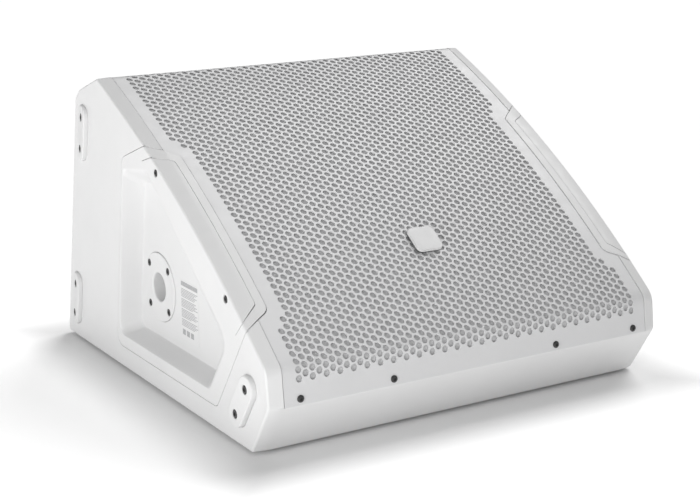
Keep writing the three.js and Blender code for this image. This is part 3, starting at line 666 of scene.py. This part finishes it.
def recess_tool():
    rim = grown(mouth, 1.2)
    sections = [(-OUTSIDE, rim), (-HALF_WIDTH, rim)]
    for step in range(1, WALL_STEPS + 1):
        share = step / WALL_STEPS
        deep = share * share * (3 - 2 * share)
        outline = [a.lerp(b, share) for a, b in zip(rim, floor_edge)]
        sections.append((-HALF_WIDTH + (HALF_WIDTH - RECESS_FLOOR) * deep, outline))
    return loft(sections)


def side_axis(side, y, z, x=HALF_WIDTH):
    """Puts +Z out of a side face; side is -1 on the left and 1 on the right."""
    turn = Matrix(((0, 0, side, 0), (-side, 0, 0, 0), (0, -1, 0, 0), (0, 0, 0, 1)))
    if turn.determinant() < 0:
        turn = turn @ Matrix.Scale(-1, 4, (1, 0, 0))
    return Matrix.Translation((side * x, y, z)) @ turn


GRIP_SCREWS = {"upper": (-13.5, 279.3), "lower": (-187, 167.5)}
SCREW_SINK = 1.6         # depth of the recess round a grip screw
SCREW_SIZES = {          # radius and height of the head
    "grip": (4.4, 1.7),
    "grille": (4.3, 1.7),
    "pole": (4.5, 1.3),
    "foot": (5.2, 1.5),
    "panel": (3.6, 1.6),
}

outer = loft(body_sections())
recess = recess_tool()


def make_tray():
    tray = copied(outer)
    tool = insert_tool(tray_front, tray_side(), TRAY_INNER_FACE)
    combine(tray, tool, "INTERSECT")
    room = insert_tool(opened(grip_front, 0.35, 0.3, 0.9), grip_side(SEAM), GRIP_INNER_FACE - 0.35)
    combine(tray, room)
    combine(tray, recess)
    discard(tool, room)
    return tray


def make_grip():
    grip = copied(outer)
    tool = insert_tool(grip_front, grip_side(0), GRIP_INNER_FACE, GRIP_DROP)
    combine(grip, tool, "INTERSECT")
    combine(grip, recess)
    discard(tool)
    hole_radius = SCREW_SIZES["grip"][0] + 0.7
    for y, z in GRIP_SCREWS.values():
        hole = cylinder(hole_radius, -SCREW_SINK, 10, 32, side_axis(-1, y, z))
        combine(grip, hole)
        discard(hole)
    return grip


def near_grip_joint(middle):
    """True on the inner edges of the grip, which close against the insert without a seam."""
    joint = [GRIP_FADE_BOTTOM, MOUTH_LOW, MOUTH_TOP, GRIP_FADE_TOP]
    point = Vector((middle.y, middle.z))
    if abs(middle.x) < GRIP_INNER_FACE + 1:
        return False
    for a, b in zip(joint, joint[1:]):
        along = (b - a).normalized()
        reach = (point - a).dot(along)
        if -1 < reach < (b - a).length + 1 and abs((point - a).cross(along)) < 0.8:
            return True
    return False


tray_left = make_tray()
grip_left = make_grip()
tray_right = copied(tray_left, mirror=True)
grip_right = copied(grip_left, mirror=True)
for radius, depth, segments in ((POLE_FLANGE_RADIUS + 0.6, 2, 96), (POLE_BORE + 4, 30, 64)):
    pole_hole = cylinder(radius, -depth, 20, segments, side_axis(-1, *POLE_CENTRE, RECESS_FLOOR))
    combine(tray_left, pole_hole)
    discard(pole_hole)
for stem, pair in (("side_tray", (tray_left, tray_right)), ("handle_grip", (grip_left, grip_right))):
    for made, (_, side_name) in zip(pair, SIDES):
        round_edges(made, EDGE, keep=near_grip_joint)
        publish(made, f"{stem}_{side_name}_moulding", "shell_white", [f"{stem}_{side_name}"])


# ---- cabinet shell
baffle_angle = front_heading(BAFFLE_MIDDLE)
baffle_middle = front_point(BAFFLE_MIDDLE, BAFFLE_DEPTH)
driver_centre = baffle_middle + front_tangent(BAFFLE_MIDDLE) * DRIVER_DROP
DRIVER = Matrix.Translation((0, driver_centre.x, driver_centre.y)) @ Matrix.Rotation(baffle_angle, 4, "X")

back_along = (BACK_SHOULDER - BACK_HEEL).normalized()
panel_centre = BACK_HEEL + back_along * ((PANEL_HEIGHT - BACK_HEEL.y) / back_along.y)
BACK = Matrix.Translation((0, panel_centre.x, panel_centre.y)) @ Matrix((
    (-1, 0, 0, 0),
    (0, back_along.x, back_along.y, 0),
    (0, back_along.y, -back_along.x, 0),
    (0, 0, 0, 1),
))


def strip(from_depth, to_depth, first, last, half_width, steps=90):
    """A solid strip that follows the front run between two depths."""
    alongs = [first + (last - first) * k / steps for k in range(steps + 1)]
    outline = [run.at(a, from_depth) for a in alongs]
    outline += [run.at(a, to_depth) for a in reversed(alongs)]
    return prism(outline, -half_width, half_width)


# Side feet: centre in Y and Z, lean of the top towards the front, backward slope of the foot's face.
SIDE_FEET = {
    "front": (-228.8, 60.3, 33.7, 0),
    "back_upper": (205.2, 292.9, 10.3, 10),
    "back_lower": (249.1, 59.3, 10.3, 10),
}
FOOT_LENGTH = 75
FOOT_WIDTH = 31
FOOT_RISE = 6.5
FOOT_ROUND = 1.8
FOOT_SCREW_SPACING = 43
FOOT_SINK_RADIUS = 5.6


def stadium(grow=0, steps=16):
    """A long round-ended outline with its straight sides along Y."""
    half = (FOOT_LENGTH - FOOT_WIDTH) / 2
    radius = FOOT_WIDTH / 2 + grow
    outline = []
    for end in (1, -1):
        for step in range(steps + 1):
            angle = pi * step / steps + (0 if end > 0 else pi)
            outline.append(Vector((radius * cos(angle), end * half + radius * sin(angle))))
    return outline


def foot_matrix(side, y, z, lean):
    """Local +X faces the front, +Z out of the side face."""
    basis = Matrix(((0, 0, side, 0), (-1, 0, 0, 0), (0, 1, 0, 0), (0, 0, 0, 1)))
    turn = Matrix.Rotation(-radians(lean), 4, "Z")
    return Matrix.Translation((side * HALF_WIDTH, y, z)) @ basis @ turn


def make_shell():
    shell = copied(outer)
    cavity_outline = [
        Vector((172, 340)),
        Vector((150, 334.8)),
        baffle_middle + front_tangent(BAFFLE_MIDDLE) * BAFFLE_HALF_LENGTH
        + inwards(baffle_angle) * (BAFFLE_THICKNESS + 0.35),
        Vector((-262, 96)),
        Vector((-264, 60)),
        Vector((-238, FLOOR_GAP + WALL)),
        Vector((265, FLOOR_GAP + WALL)),
        Vector((209.5, 325)),
        Vector((200, 331)),
    ]
    mouth_height = BAFFLE_DEPTH + BAFFLE_THICKNESS + 30
    mouth_size = (2 * BAFFLE_HALF_WIDTH + 1, 2 * BAFFLE_HALF_LENGTH + 1, mouth_height)
    mouth_centre = (0, DRIVER_DROP, mouth_height / 2 - BAFFLE_THICKNESS - 0.35)
    foam_bed = GRILLE_SETBACK + GRILLE_THICKNESS + FOAM_THICKNESS + 1
    tools = [
        prism(cavity_outline, WALL - HALF_WIDTH, HALF_WIDTH - WALL),
        block(mouth_size, mouth_centre, DRIVER),
        strip(-12, foam_bed, GRILLE_TOP - 0.5, GRILLE_BOTTOM + 0.04, FRONT_HALF_WIDTH + 0.35),
        block((PANEL_SIZE[0] + 1, PANEL_SIZE[1] + 1, PANEL_RECESS + 20), (0, 0, 10 - PANEL_RECESS / 2), BACK),
        block((PANEL_SIZE[0] - 30, PANEL_SIZE[1] - 30, 60), (0, 0, -15), BACK),
    ]
    opening_front = opened(tray_front, SEAM, 0.1, 0.8)
    opening = insert_tool(opening_front, grown(tray_side(), SEAM), TRAY_INNER_FACE - SEAM)
    tools += [opening, copied(opening, mirror=True)]
    for y, z, lean, _ in SIDE_FEET.values():
        for side, _ in SIDES:
            seat = foot_matrix(side, y, z, lean)
            layers = [[(p.x, p.y, height) for p in stadium(0.7)] for height in (-1.2, 5)]
            tools.append(stack(layers, seat))
    for tool in tools:
        combine(shell, tool)
    discard(*tools)
    return shell


def at_kick_edge(middle):
    """True where the grille ends at the bottom of the kick strip, which is a tight joint."""
    joint = run.at(GRILLE_BOTTOM, GRILLE_SETBACK)
    return hypot(middle.y - joint.x, middle.z - joint.y) < 2.5 and abs(middle.x) < FRONT_HALF_WIDTH - 3


shell = make_shell()
round_edges(shell, EDGE, keep=at_kick_edge)
publish(shell, "cabinet_shell_moulding", "shell_white", ["cabinet_shell"])


# ---- perforated grille
FIRST_ROW = -57
LAST_ROW = 46
LAST_COLUMN = 27         # of the even rows; odd rows end one earlier, and rows beside the inserts two
NARROW_ROWS = {0: (-26, 32), 1: (-23, 29)}     # first and last row beside the inserts, even rows and odd ones
CORNER_CUT = 1.1         # off the corners of a hole
CORNER_INSETS = (4, 9)   # columns of extra points in the plain corners of the sheet
CORNER_DROPS = range(3, 28, 4)
STRIP_PLACES = (235.5, 241.5, 246)     # extra points beside the end of the top row
STRIP_DROPS = (2, 4, 6)


def last_column(row):
    odd = row % 2
    low, high = NARROW_ROWS[odd]
    return LAST_COLUMN - odd - (2 if low <= row <= high else 0)


def make_grille():
    points = []
    index = {}

    def point(x, along):
        key = (round(x * 50), round(along * 50))
        if key not in index:
            index[key] = len(points)
            points.append(Vector((x, along)))
        return index[key]

    cell_radius = PITCH / sqrt(3)
    hole_radius = HOLE_WIDTH / sqrt(3)
    faces = []
    cells = set()
    edge_count = {}
    for row in range(FIRST_ROW, LAST_ROW + 1):
        columns = last_column(row)
        for column in range(-columns, columns + 1, 2):
            cells.add((row, column))
            x, along = column * COLUMN_STEP, row * ROW_STEP
            corners = []
            hole = []
            for k in range(6):
                direction = Vector((cos(pi / 3 * k), sin(pi / 3 * k)))
                corners.append(point(x + direction.x * cell_radius, along + direction.y * cell_radius))
                tip = direction * hole_radius
                for turn in (-1, 1):
                    near = turned_by(direction, turn * 2 * pi / 3) * CORNER_CUT
                    hole.append(point(x + tip.x + near.x, along + tip.y + near.y))
            for k in range(6):
                n = (k + 1) % 6
                faces.append((corners[k], corners[n], hole[2 * n], hole[2 * k + 1]))
                faces.append((corners[k], hole[2 * k + 1], hole[2 * k]))
                edge = tuple(sorted((corners[k], corners[n])))
                edge_count[edge] = edge_count.get(edge, 0) + 1
    rim = [edge for edge, count in edge_count.items() if count == 1]

    # The sheet's outline round the perforated field, clear of the inserts.
    half = FRONT_HALF_WIDTH - 0.35
    first, last = GRILLE_TOP, GRILLE_BOTTOM
    bump = opened(tray_front, 0.7, 0.1, 0.7)
    left = [p for p in bump if p.x > -half]
    left.sort(key=lambda p: p.y)
    crossings = []
    for a, b in zip(bump, bump[1:] + bump[:1]):
        if (a.x + half) * (b.x + half) < 0:
            crossings.append(a.lerp(b, (-half - a.x) / (b.x - a.x)))
    crossings.sort(key=lambda p: p.y)
    left = [crossings[0], *left, crossings[1]]
    outline = [Vector((-half, first)), *left, Vector((-half, last))]
    outline += [Vector((-p.x, p.y)) for p in reversed(outline)]
    dense = []
    for a, b in zip(outline, outline[1:] + outline[:1]):
        parts = max(1, round((b - a).length / 6))
        dense += [a.lerp(b, k / parts) for k in range(parts)]

    used = sorted({i for edge in rim for i in edge})
    local = {i: k for k, i in enumerate(used)}
    # Extra points keep the plain corners beside the top row smooth where the sheet bends.
    guides = [Vector((side * (half - inset), first + down))
              for side, _ in SIDES for inset in CORNER_INSETS for down in CORNER_DROPS]
    guides += [Vector((side * x, first + down))
               for side, _ in SIDES for x in STRIP_PLACES for down in STRIP_DROPS]
    inputs = [points[i] for i in used] + dense + guides
    start = len(used)
    edges = [(local[a], local[b]) for a, b in rim]
    edges += [(start + k, start + (k + 1) % len(dense)) for k in range(len(dense))]
    out_points, _, triangles, origins, _, _ = delaunay_2d_cdt(inputs, edges, [], 0, 1e-4)

    def inside(p):
        hit = False
        for a, b in zip(dense, dense[1:] + dense[:1]):
            if (a.y > p.y) != (b.y > p.y) and p.x < a.x + (b.x - a.x) * (p.y - a.y) / (b.y - a.y):
                hit = not hit
        return hit

    def in_cell(p):
        row = round(p.y / ROW_STEP)
        for r in (row - 1, row, row + 1):
            column = round(p.x / COLUMN_STEP)
            for c in (column - 1, column, column + 1):
                if (r, c) not in cells:
                    continue
                rise = p.y - r * ROW_STEP
                slant = (p.x - c * COLUMN_STEP) * sqrt(3) / 2
                if max(abs(rise), abs(rise / 2 + slant), abs(rise / 2 - slant)) < PITCH / 2 + 0.01:
                    return True
        return False

    def place_of(k):
        source = origins[k]
        if source and source[0] < start:
            return used[source[0]]
        return point(out_points[k].x, out_points[k].y)

    for a, b, c in triangles:
        middle = (out_points[a] + out_points[b] + out_points[c]) / 3
        if inside(middle) and not in_cell(middle):
            faces.append((place_of(a), place_of(b), place_of(c)))
    count = len(points)
    vertices = []
    for depth in (0, GRILLE_THICKNESS):
        for p in points:
            place = run.at(p.y, sheet_setback(p.y) + depth)
            vertices.append((p.x, place.x, place.y))
    oriented = []
    for face in faces:
        flat = [points[i] for i in face]
        oriented.append(tuple(reversed(face)) if signed_area(flat) > 0 else face)
    directed = dict.fromkeys(edge for face in oriented for edge in zip(face, face[1:] + face[:1]))
    all_faces = [tuple(reversed(f)) for f in oriented] + [tuple(i + count for i in f) for f in oriented]
    for a, b in directed:
        if (b, a) not in directed:
            all_faces.append((a, b, b + count, a + count))
    return solid(vertices, all_faces)


grille = make_grille()
publish(grille, "grille_perforated", "grille_white", ["grille_panel"], sharp=50, weighted=False)


# ---- foam behind the grille
FOAM_HALF_WIDTH = 250
FOAM_NARROW_HALF_WIDTH = 241.6
FOAM_NARROW_RUN = (-152, 172)     # beside the inserts


def make_foam():
    first, last = GRILLE_TOP + 0.5, LAST_ROW * ROW_STEP + 12
    steps = 150
    columns = 40
    front_depth = GRILLE_SETBACK + GRILLE_THICKNESS + 0.4
    vertices = []
    for depth in (front_depth, front_depth + FOAM_THICKNESS - 0.6):
        for k in range(steps + 1):
            along = first + (last - first) * k / steps
            beside_insert = FOAM_NARROW_RUN[0] < along < FOAM_NARROW_RUN[1]
            half = FOAM_NARROW_HALF_WIDTH if beside_insert else FOAM_HALF_WIDTH
            for c in range(columns + 1):
                place = run.at(along, depth)
                vertices.append((half * (2 * c / columns - 1), place.x, place.y))
    width = columns + 1
    layer = width * (steps + 1)
    faces = []
    for k in range(steps):
        for c in range(columns):
            a = k * width + c
            faces.append((a, a + 1, a + width + 1, a + width))
            faces.append((layer + a, layer + a + width, layer + a + width + 1, layer + a + 1))
    for k in range(steps):
        for c in (0, columns):
            a = k * width + c
            faces.append((a, a + width, layer + a + width, layer + a))
    for c in range(columns):
        for k in (0, steps):
            a = k * width + c
            faces.append((a, a + 1, layer + a + 1, layer + a))
    return solid(vertices, faces)


publish(make_foam(), "foam_behind_grille", "foam_grey", ["foam_sheet"], sharp=60, weighted=False)


# ---- screws
def socket_screw(kind, matrix, name, node=None):
    """A low domed screw head with a hexagon socket; +Z points out of the surface."""
    radius, height = SCREW_SIZES[kind]
    segments = 36
    socket = radius * 0.46
    depth = height * 0.75
    profile = [(radius, -0.6), (radius, height * 0.35), (radius * 0.96, height * 0.6),
               (radius * 0.84, height * 0.85), (radius * 0.7, height * 0.97), (radius * 0.58, height)]
    angles = [2 * pi * k / segments for k in range(segments)]
    layers = [[(r * cos(angle), r * sin(angle), h) for angle in angles] for r, h in profile]

    def hexagon(size, h):
        ring = []
        for angle in angles:
            inner = (angle % (pi / 3)) - pi / 6
            reach = size * cos(pi / 6) / cos(inner)
            ring.append((reach * cos(angle), reach * sin(angle), h))
        return ring

    layers += [hexagon(socket * 1.12, height * 0.99), hexagon(socket, height * 0.9)]
    layers.append(hexagon(socket * 0.97, height - depth))
    made = stack(layers, matrix)
    publish(made, name, "screw_black", [node] if node else (), sharp=30, weighted=False)


for side, side_name in SIDES:
    for level, (y, z) in GRIP_SCREWS.items():
        seat = side_axis(side, y, z, HALF_WIDTH - SCREW_SINK)
        node_name = f"grip_screw_{side_name}_{level}"
        socket_screw("grip", seat, f"{node_name}_head", node_name)

KICK_SCREWS = (-239, -116.8, 116.8, 239)
KICK_SCREW_RISE = 7.7    # above the lower edge of the kick strip
KICK_SCREW_SINK = 0.3
kick_length = (KICK_BOTTOM - kick_top).length
kick_screw_place = kick_top + kick_along * (kick_length - KICK_SCREW_RISE) + kick_inwards * KICK_SCREW_SINK
for i, x in enumerate(KICK_SCREWS):
    out = Vector((0, -kick_inwards.x, -kick_inwards.y))
    turn = out.to_track_quat("Z", "X").to_matrix().to_4x4()
    seat = Matrix.Translation((x, kick_screw_place.x, kick_screw_place.y)) @ turn
    socket_screw("grille", seat, f"grille_screw_{i + 1}_head", f"grille_screw_{i + 1}")


# ---- pole socket
def make_pole_socket():
    edge = 1.2
    rise = 1.6
    lip = 2.2
    wall = 3
    under = -1.6
    profile = [(0, -POLE_DEPTH), (POLE_BORE + wall, -POLE_DEPTH), (POLE_BORE + wall, under)]
    profile.append((POLE_FLANGE_RADIUS, under))
    for cosine, sine in quarter_arc(5):
        profile.append((POLE_FLANGE_RADIUS - edge + edge * cosine, rise - edge + edge * sine))
    for cosine, sine in quarter_arc(6):
        profile.append((POLE_BORE + lip - lip * sine, rise - lip + lip * cosine))
    profile += [(POLE_BORE, wall - POLE_DEPTH), (0, wall - POLE_DEPTH)]
    return revolve(profile, 96, side_axis(-1, *POLE_CENTRE, RECESS_FLOOR))


pole_socket = make_pole_socket()
POLE_SCREWS = 26.35      # their distance from the centre in Y and in Z
POLE_SINK_RADIUS = 5
for place, (dy, dz) in {"a": (-1, 1), "b": (1, 1), "c": (-1, -1), "d": (1, -1)}.items():
    spot = (POLE_CENTRE[0] + dy * POLE_SCREWS, POLE_CENTRE[1] + dz * POLE_SCREWS)
    sink = cylinder(POLE_SINK_RADIUS, 0.4, 6, 32, side_axis(-1, *spot, RECESS_FLOOR))
    combine(pole_socket, sink)
    discard(sink)
    socket_screw("pole", side_axis(-1, *spot, RECESS_FLOOR + 0.5), f"pole_screw_{place}")
publish(pole_socket, "pole_socket_flange", "shell_white", ["pole_socket"])


# ---- rating plate
PLATE_Y = (-61, -14)
PLATE_Z = (70, 145)


def sheet_on_floor(y_range, z_range, low, high):
    """A thin flat piece on the recess floor, between two heights above it."""
    y0, y1 = y_range
    z0, z1 = z_range
    return block((high - low, y1 - y0, z1 - z0),
                 (-RECESS_FLOOR - (low + high) / 2, (y0 + y1) / 2, (z0 + z1) / 2))


def make_print():
    """Plain bars where a rating plate has its print."""
    bars = [((-60, -16), (138, 143.5))]
    z = 134.5
    line = 0
    while z > 88:
        ragged = 44 - (line * 7 % 5) * 2.2 - (9 if line % 6 == 5 else 0)
        bars.append(((-16 - ragged, -16), (z - 0.9, z)))
        z -= 1.9 if line % 6 != 5 else 3.4
        line += 1
    for k in range(3):
        bars.append(((-26 - k * 11, -18 - k * 11), (76, 83)))
    vertices = []
    faces = []
    for (y0, y1), (z0, z1) in bars:
        first = len(vertices)
        for x in (-RECESS_FLOOR - 0.34, -RECESS_FLOOR - 0.42):
            vertices += [(x, y0, z0), (x, y1, z0), (x, y1, z1), (x, y0, z1)]
        faces += [tuple(first + i for i in f) for f in (
            (0, 1, 2, 3), (7, 6, 5, 4), (0, 4, 5, 1), (1, 5, 6, 2), (2, 6, 7, 3), (3, 7, 4, 0))]
    return solid(vertices, faces)


plate = sheet_on_floor(PLATE_Y, PLATE_Z, 0.05, 0.35)
publish(plate, "rating_plate_film", "label_film", ["rating_plate"])
publish(make_print(), "rating_plate_bars", "label_film", finish=INK, weighted=False)


# ---- side feet
def make_side_foot(side, y, z, lean, wedge):
    slope = tan(radians(wedge))
    place = foot_matrix(side, y, z, lean)

    def height(x, top):
        return top + (x - FOOT_WIDTH / 2) * slope

    layers = [[(p.x, p.y, -1.0) for p in stadium()]]
    for cosine, sine in quarter_arc(5):
        ring = stadium(-FOOT_ROUND * (1 - cosine))
        top = FOOT_RISE - FOOT_ROUND * (1 - sine)
        layers.append([(p.x, p.y, height(p.x, top)) for p in ring])
    foot = stack(layers, place)
    heads = []
    for end in (-1, 1):
        tilt = Matrix.Rotation(-atan(slope), 4, "Y")
        centre = Matrix.Translation((0, end * FOOT_SCREW_SPACING / 2, height(0, FOOT_RISE)))
        sink = cylinder(FOOT_SINK_RADIUS, -1.5, 6, 32, place @ centre @ tilt)
        combine(foot, sink)
        discard(sink)
        heads.append(place @ centre @ tilt @ Matrix.Translation((0, 0, -1.3)))
    return foot, heads


for place_name, (y, z, lean, wedge) in SIDE_FEET.items():
    for side, side_name in SIDES:
        foot, heads = make_side_foot(side, y, z, lean, wedge)
        round_edges(foot, 0.25, limit=50)
        node_name = f"side_foot_{side_name}_{place_name}"
        publish(foot, f"{node_name}_pad", "foot_white", [node_name])
        for k, head in enumerate(heads):
            socket_screw("foot", head, f"{node_name}_screw_{k + 1}")

BASE_FOOT_X = 232
BASE_FOOT_Y = {"front": -212, "back": 222}
BASE_FOOT = [(0, 0), (11.5, 0), (12.6, 0.3), (13.2, 1), (15, 3.4), (15, FLOOR_GAP), (0, FLOOR_GAP)]
for end_name, y in BASE_FOOT_Y.items():
    for side, side_name in SIDES:
        foot = revolve(BASE_FOOT, 48, Matrix.Translation((side * BASE_FOOT_X, y, 0)))
        node_name = f"base_foot_{end_name}_{side_name}"
        publish(foot, f"{node_name}_pad", "rubber_black", [node_name])


# ---- back panel details
PANEL_FACE = PANEL_THICKNESS - PANEL_RECESS
KNOB_PLACE = (-140, 0)
KNOB_TOP = PANEL_FACE + 10.75
DIAL_RADIUS = 15.5
DIAL_SWEEP = 150         # degrees each way from the middle
MARK_HEIGHT = 0.12
LINE_WIDTH = 0.5
PANEL_SCREW_X = (-167.5, -56, 56, 167.5)
PANEL_SCREW_Y = (-97.5, 97.5)
GROUPS_X = (-164, -70)   # the printed frames round the three groups of fittings
GROUPS_Y = ((30, 86), (-88, -32), (-26, 24))


def on_panel(x, y, height=PANEL_FACE):
    return BACK @ Matrix.Translation((x, y, height))


panel_rim = [(x, y) for x in PANEL_SCREW_X for y in PANEL_SCREW_Y]
panel_rim += [(PANEL_SCREW_X[0], 0), (PANEL_SCREW_X[-1], 0)]
for i, (x, y) in enumerate(panel_rim):
    socket_screw("panel", on_panel(x, y), f"panel_screw_{i + 1}_head")


def mark(size_x, size_y, place):
    return block((size_x, size_y, MARK_HEIGHT), (0, 0, MARK_HEIGHT / 2), place)


def join(pieces):
    """Several separate closed shapes as one object."""
    whole = bmesh.new()
    for piece in pieces:
        whole.from_mesh(piece.data)
    whole.to_mesh(pieces[0].data)
    whole.free()
    discard(*pieces[1:])
    return pieces[0]


def frame_lines(y0, y1):
    x0, x1 = GROUPS_X
    middle_x, middle_y = (x0 + x1) / 2, (y0 + y1) / 2
    lines = [mark(x1 - x0, LINE_WIDTH, on_panel(middle_x, y)) for y in (y0, y1)]
    return lines + [mark(LINE_WIDTH, y1 - y0 - 2 * LINE_WIDTH, on_panel(x, middle_y)) for x in (x0, x1)]


def make_panel_marks():
    marks = []
    for step in range(11):
        turn = Matrix.Rotation(radians(DIAL_SWEEP * (step / 5 - 1)), 4, "Z")
        length = 3.2 if step % 5 == 0 else 2.2
        place = on_panel(*KNOB_PLACE) @ turn @ Matrix.Translation((0, DIAL_RADIUS, 0))
        marks.append(mark(LINE_WIDTH, length, place))
    for y0, y1 in GROUPS_Y:
        marks += frame_lines(y0, y1)
    return join(marks)


publish(make_panel_marks(), "panel_print_marks", "label_film", weighted=False)
pointer = mark(0.9, 5.6, on_panel(*KNOB_PLACE, KNOB_TOP - 0.02) @ Matrix.Translation((0, 4.2, 0)))
publish(pointer, "level_knob_pointer", "label_film", body="level_knob", weighted=False)


# ---- badge
badge_place = front_point(BADGE_POSITION, 0.3)
BADGE = (Matrix.Translation((0, badge_place.x, badge_place.y))
         @ Matrix.Rotation(front_heading(BADGE_POSITION), 4, "X"))


def rounded_square(size, radius, height):
    half = size / 2
    corners = [(c, radius, 8) for c in ((-half, -half), (half, -half), (half, half), (-half, half))]
    return [(p.x, p.y, height) for p in rounded(corners)]


BADGE_CORNER = 7.5
BADGE_BASE_TOP = 1.5


def make_badge_plate():
    layers = [rounded_square(BADGE_SIZE, BADGE_CORNER, BADGE_BASE_TOP + 0.05)]
    for cosine, sine in quarter_arc(5):
        inset = 1.1 * (1 - cosine)
        layers.append(rounded_square(BADGE_SIZE - 2 * inset, BADGE_CORNER - inset, 3.4 + 0.9 * sine))
    layers.append(rounded_square(BADGE_SIZE - 8, BADGE_CORNER - 4, 4.45))
    layers.append(rounded_square(BADGE_SIZE - 16, 2, 4.52))
    return stack(layers, BADGE)


# A black pad under the badge plate, a little smaller than it, shows as a dark line along the plate's edges.
def make_badge_base():
    heights = (0.02, BADGE_BASE_TOP)
    return stack([rounded_square(BADGE_SIZE - 0.4, BADGE_CORNER - 0.2, height) for height in heights], BADGE)


publish(make_badge_plate(), "badge_plate_blank", "shell_white", ["badge_plate"])
publish(make_badge_base(), "badge_base_pad", "plastic_black", ["badge_base"])

for tool in list(scratch):
    discard(tool)


# ---- camera, floor and light
CAMERA_PLACE = (-1.0532, -1.6947, 0.6734)
CAMERA_AIM = (0.5107, 0.8200, -0.2581)
CAMERA_LENS = 81.42
FLOOR_REACH = 30
SOFTBOX_PLACE = (-1.75, -1.0, 0.42)
SOFTBOX_TARGET = (-0.28, -0.05, 0.15)
SOFTBOX_SIZE = (1.2, 0.7)
SOFTBOX_POWER = 16
SUN_AIM = (-0.6, -0.25, -0.76)
SUN_STRENGTH = 1.5
SUN_ANGLE = radians(35)
WORLD_STRENGTH = 0.315


def aim(made, direction):
    made.rotation_mode = "QUATERNION"
    made.rotation_quaternion = Vector(direction).to_track_quat("-Z", "Y")


camera_data = bpy.data.cameras.new("camera")
camera_data.lens = CAMERA_LENS
camera_data.sensor_width = 36
camera_data.clip_start = 0.05
camera_data.clip_end = 60
camera = placed("camera", camera_data)
camera.location = CAMERA_PLACE
aim(camera, CAMERA_AIM)
bpy.context.scene.camera = camera

floor_mesh = bpy.data.meshes.new("floor")
floor_corners = [(x * FLOOR_REACH, y * FLOOR_REACH, 0) for x, y in ((-1, -1), (1, -1), (1, 1), (-1, 1))]
floor_mesh.from_pydata(floor_corners, [], [(0, 1, 2, 3)])
floor = placed("floor", floor_mesh)
floor_paper = material("floor_paper", (0.95, 0.95, 0.95), 0.9, mottle=0.003, patch=0.4, grain=0.01,
                       bump=0.00002, specular=0.1)
# The floor's glow falls to nothing inside the footprint: a painted shadow under and round the object.
FOOTPRINT = 0.28         # half the width and depth of what stands on the floor
PAINTED_SHADOW_REACH = 0.1         # width of the painted shadow, from there to the full glow
GLOW = 0.38


def add_glow_and_painted_shadow(paper):
    """The floor glows a little, fading out towards the object: a painted shadow round its footprint that
    keeps its contact shadow dark.
    """
    nodes = paper.node_tree.nodes
    links = paper.node_tree.links
    split = nodes.new("ShaderNodeSeparateXYZ")
    links.new(nodes.new("ShaderNodeTexCoord").outputs["Object"], split.inputs["Vector"])
    outside = []
    for axis in "XY":
        size = nodes.new("ShaderNodeMath")
        size.operation = "ABSOLUTE"
        links.new(split.outputs[axis], size.inputs[0])
        outside.append(size)
    farthest = nodes.new("ShaderNodeMath")
    farthest.operation = "MAXIMUM"
    links.new(outside[0].outputs["Value"], farthest.inputs[0])
    links.new(outside[1].outputs["Value"], farthest.inputs[1])
    fade = nodes.new("ShaderNodeMapRange")
    fade.interpolation_type = "SMOOTHSTEP"
    put(fade, "From Min", FOOTPRINT)
    put(fade, "From Max", FOOTPRINT + PAINTED_SHADOW_REACH)
    put(fade, "To Min", 0)
    put(fade, "To Max", GLOW)
    links.new(farthest.outputs["Value"], fade.inputs["Value"])
    shader = nodes["Principled BSDF"]
    put(shader, "Emission Color", (1, 1, 1, 1))
    links.new(fade.outputs["Result"], shader.inputs["Emission Strength"])


add_glow_and_painted_shadow(floor_paper)
floor_mesh.materials.append(floor_paper)

world = bpy.data.worlds.new("studio")
bpy.context.scene.world = world
world.use_nodes = True
background = world.node_tree.nodes["Background"]
put(background, "Color", (1, 1, 1, 1))
put(background, "Strength", WORLD_STRENGTH)

softbox_data = bpy.data.lights.new("softbox_left", "AREA")
softbox_data.shape = "RECTANGLE"
softbox_data.size, softbox_data.size_y = SOFTBOX_SIZE
softbox_data.energy = SOFTBOX_POWER
softbox = placed("softbox_left", softbox_data)
softbox.location = SOFTBOX_PLACE
softbox.visible_camera = False
aim(softbox, Vector(SOFTBOX_TARGET) - Vector(SOFTBOX_PLACE))

sun_data = bpy.data.lights.new("light_above", "SUN")
sun_data.energy = SUN_STRENGTH
sun_data.angle = SUN_ANGLE
aim(placed("light_above", sun_data), SUN_AIM)

bpy.context.scene.view_settings.view_transform = "Standard"
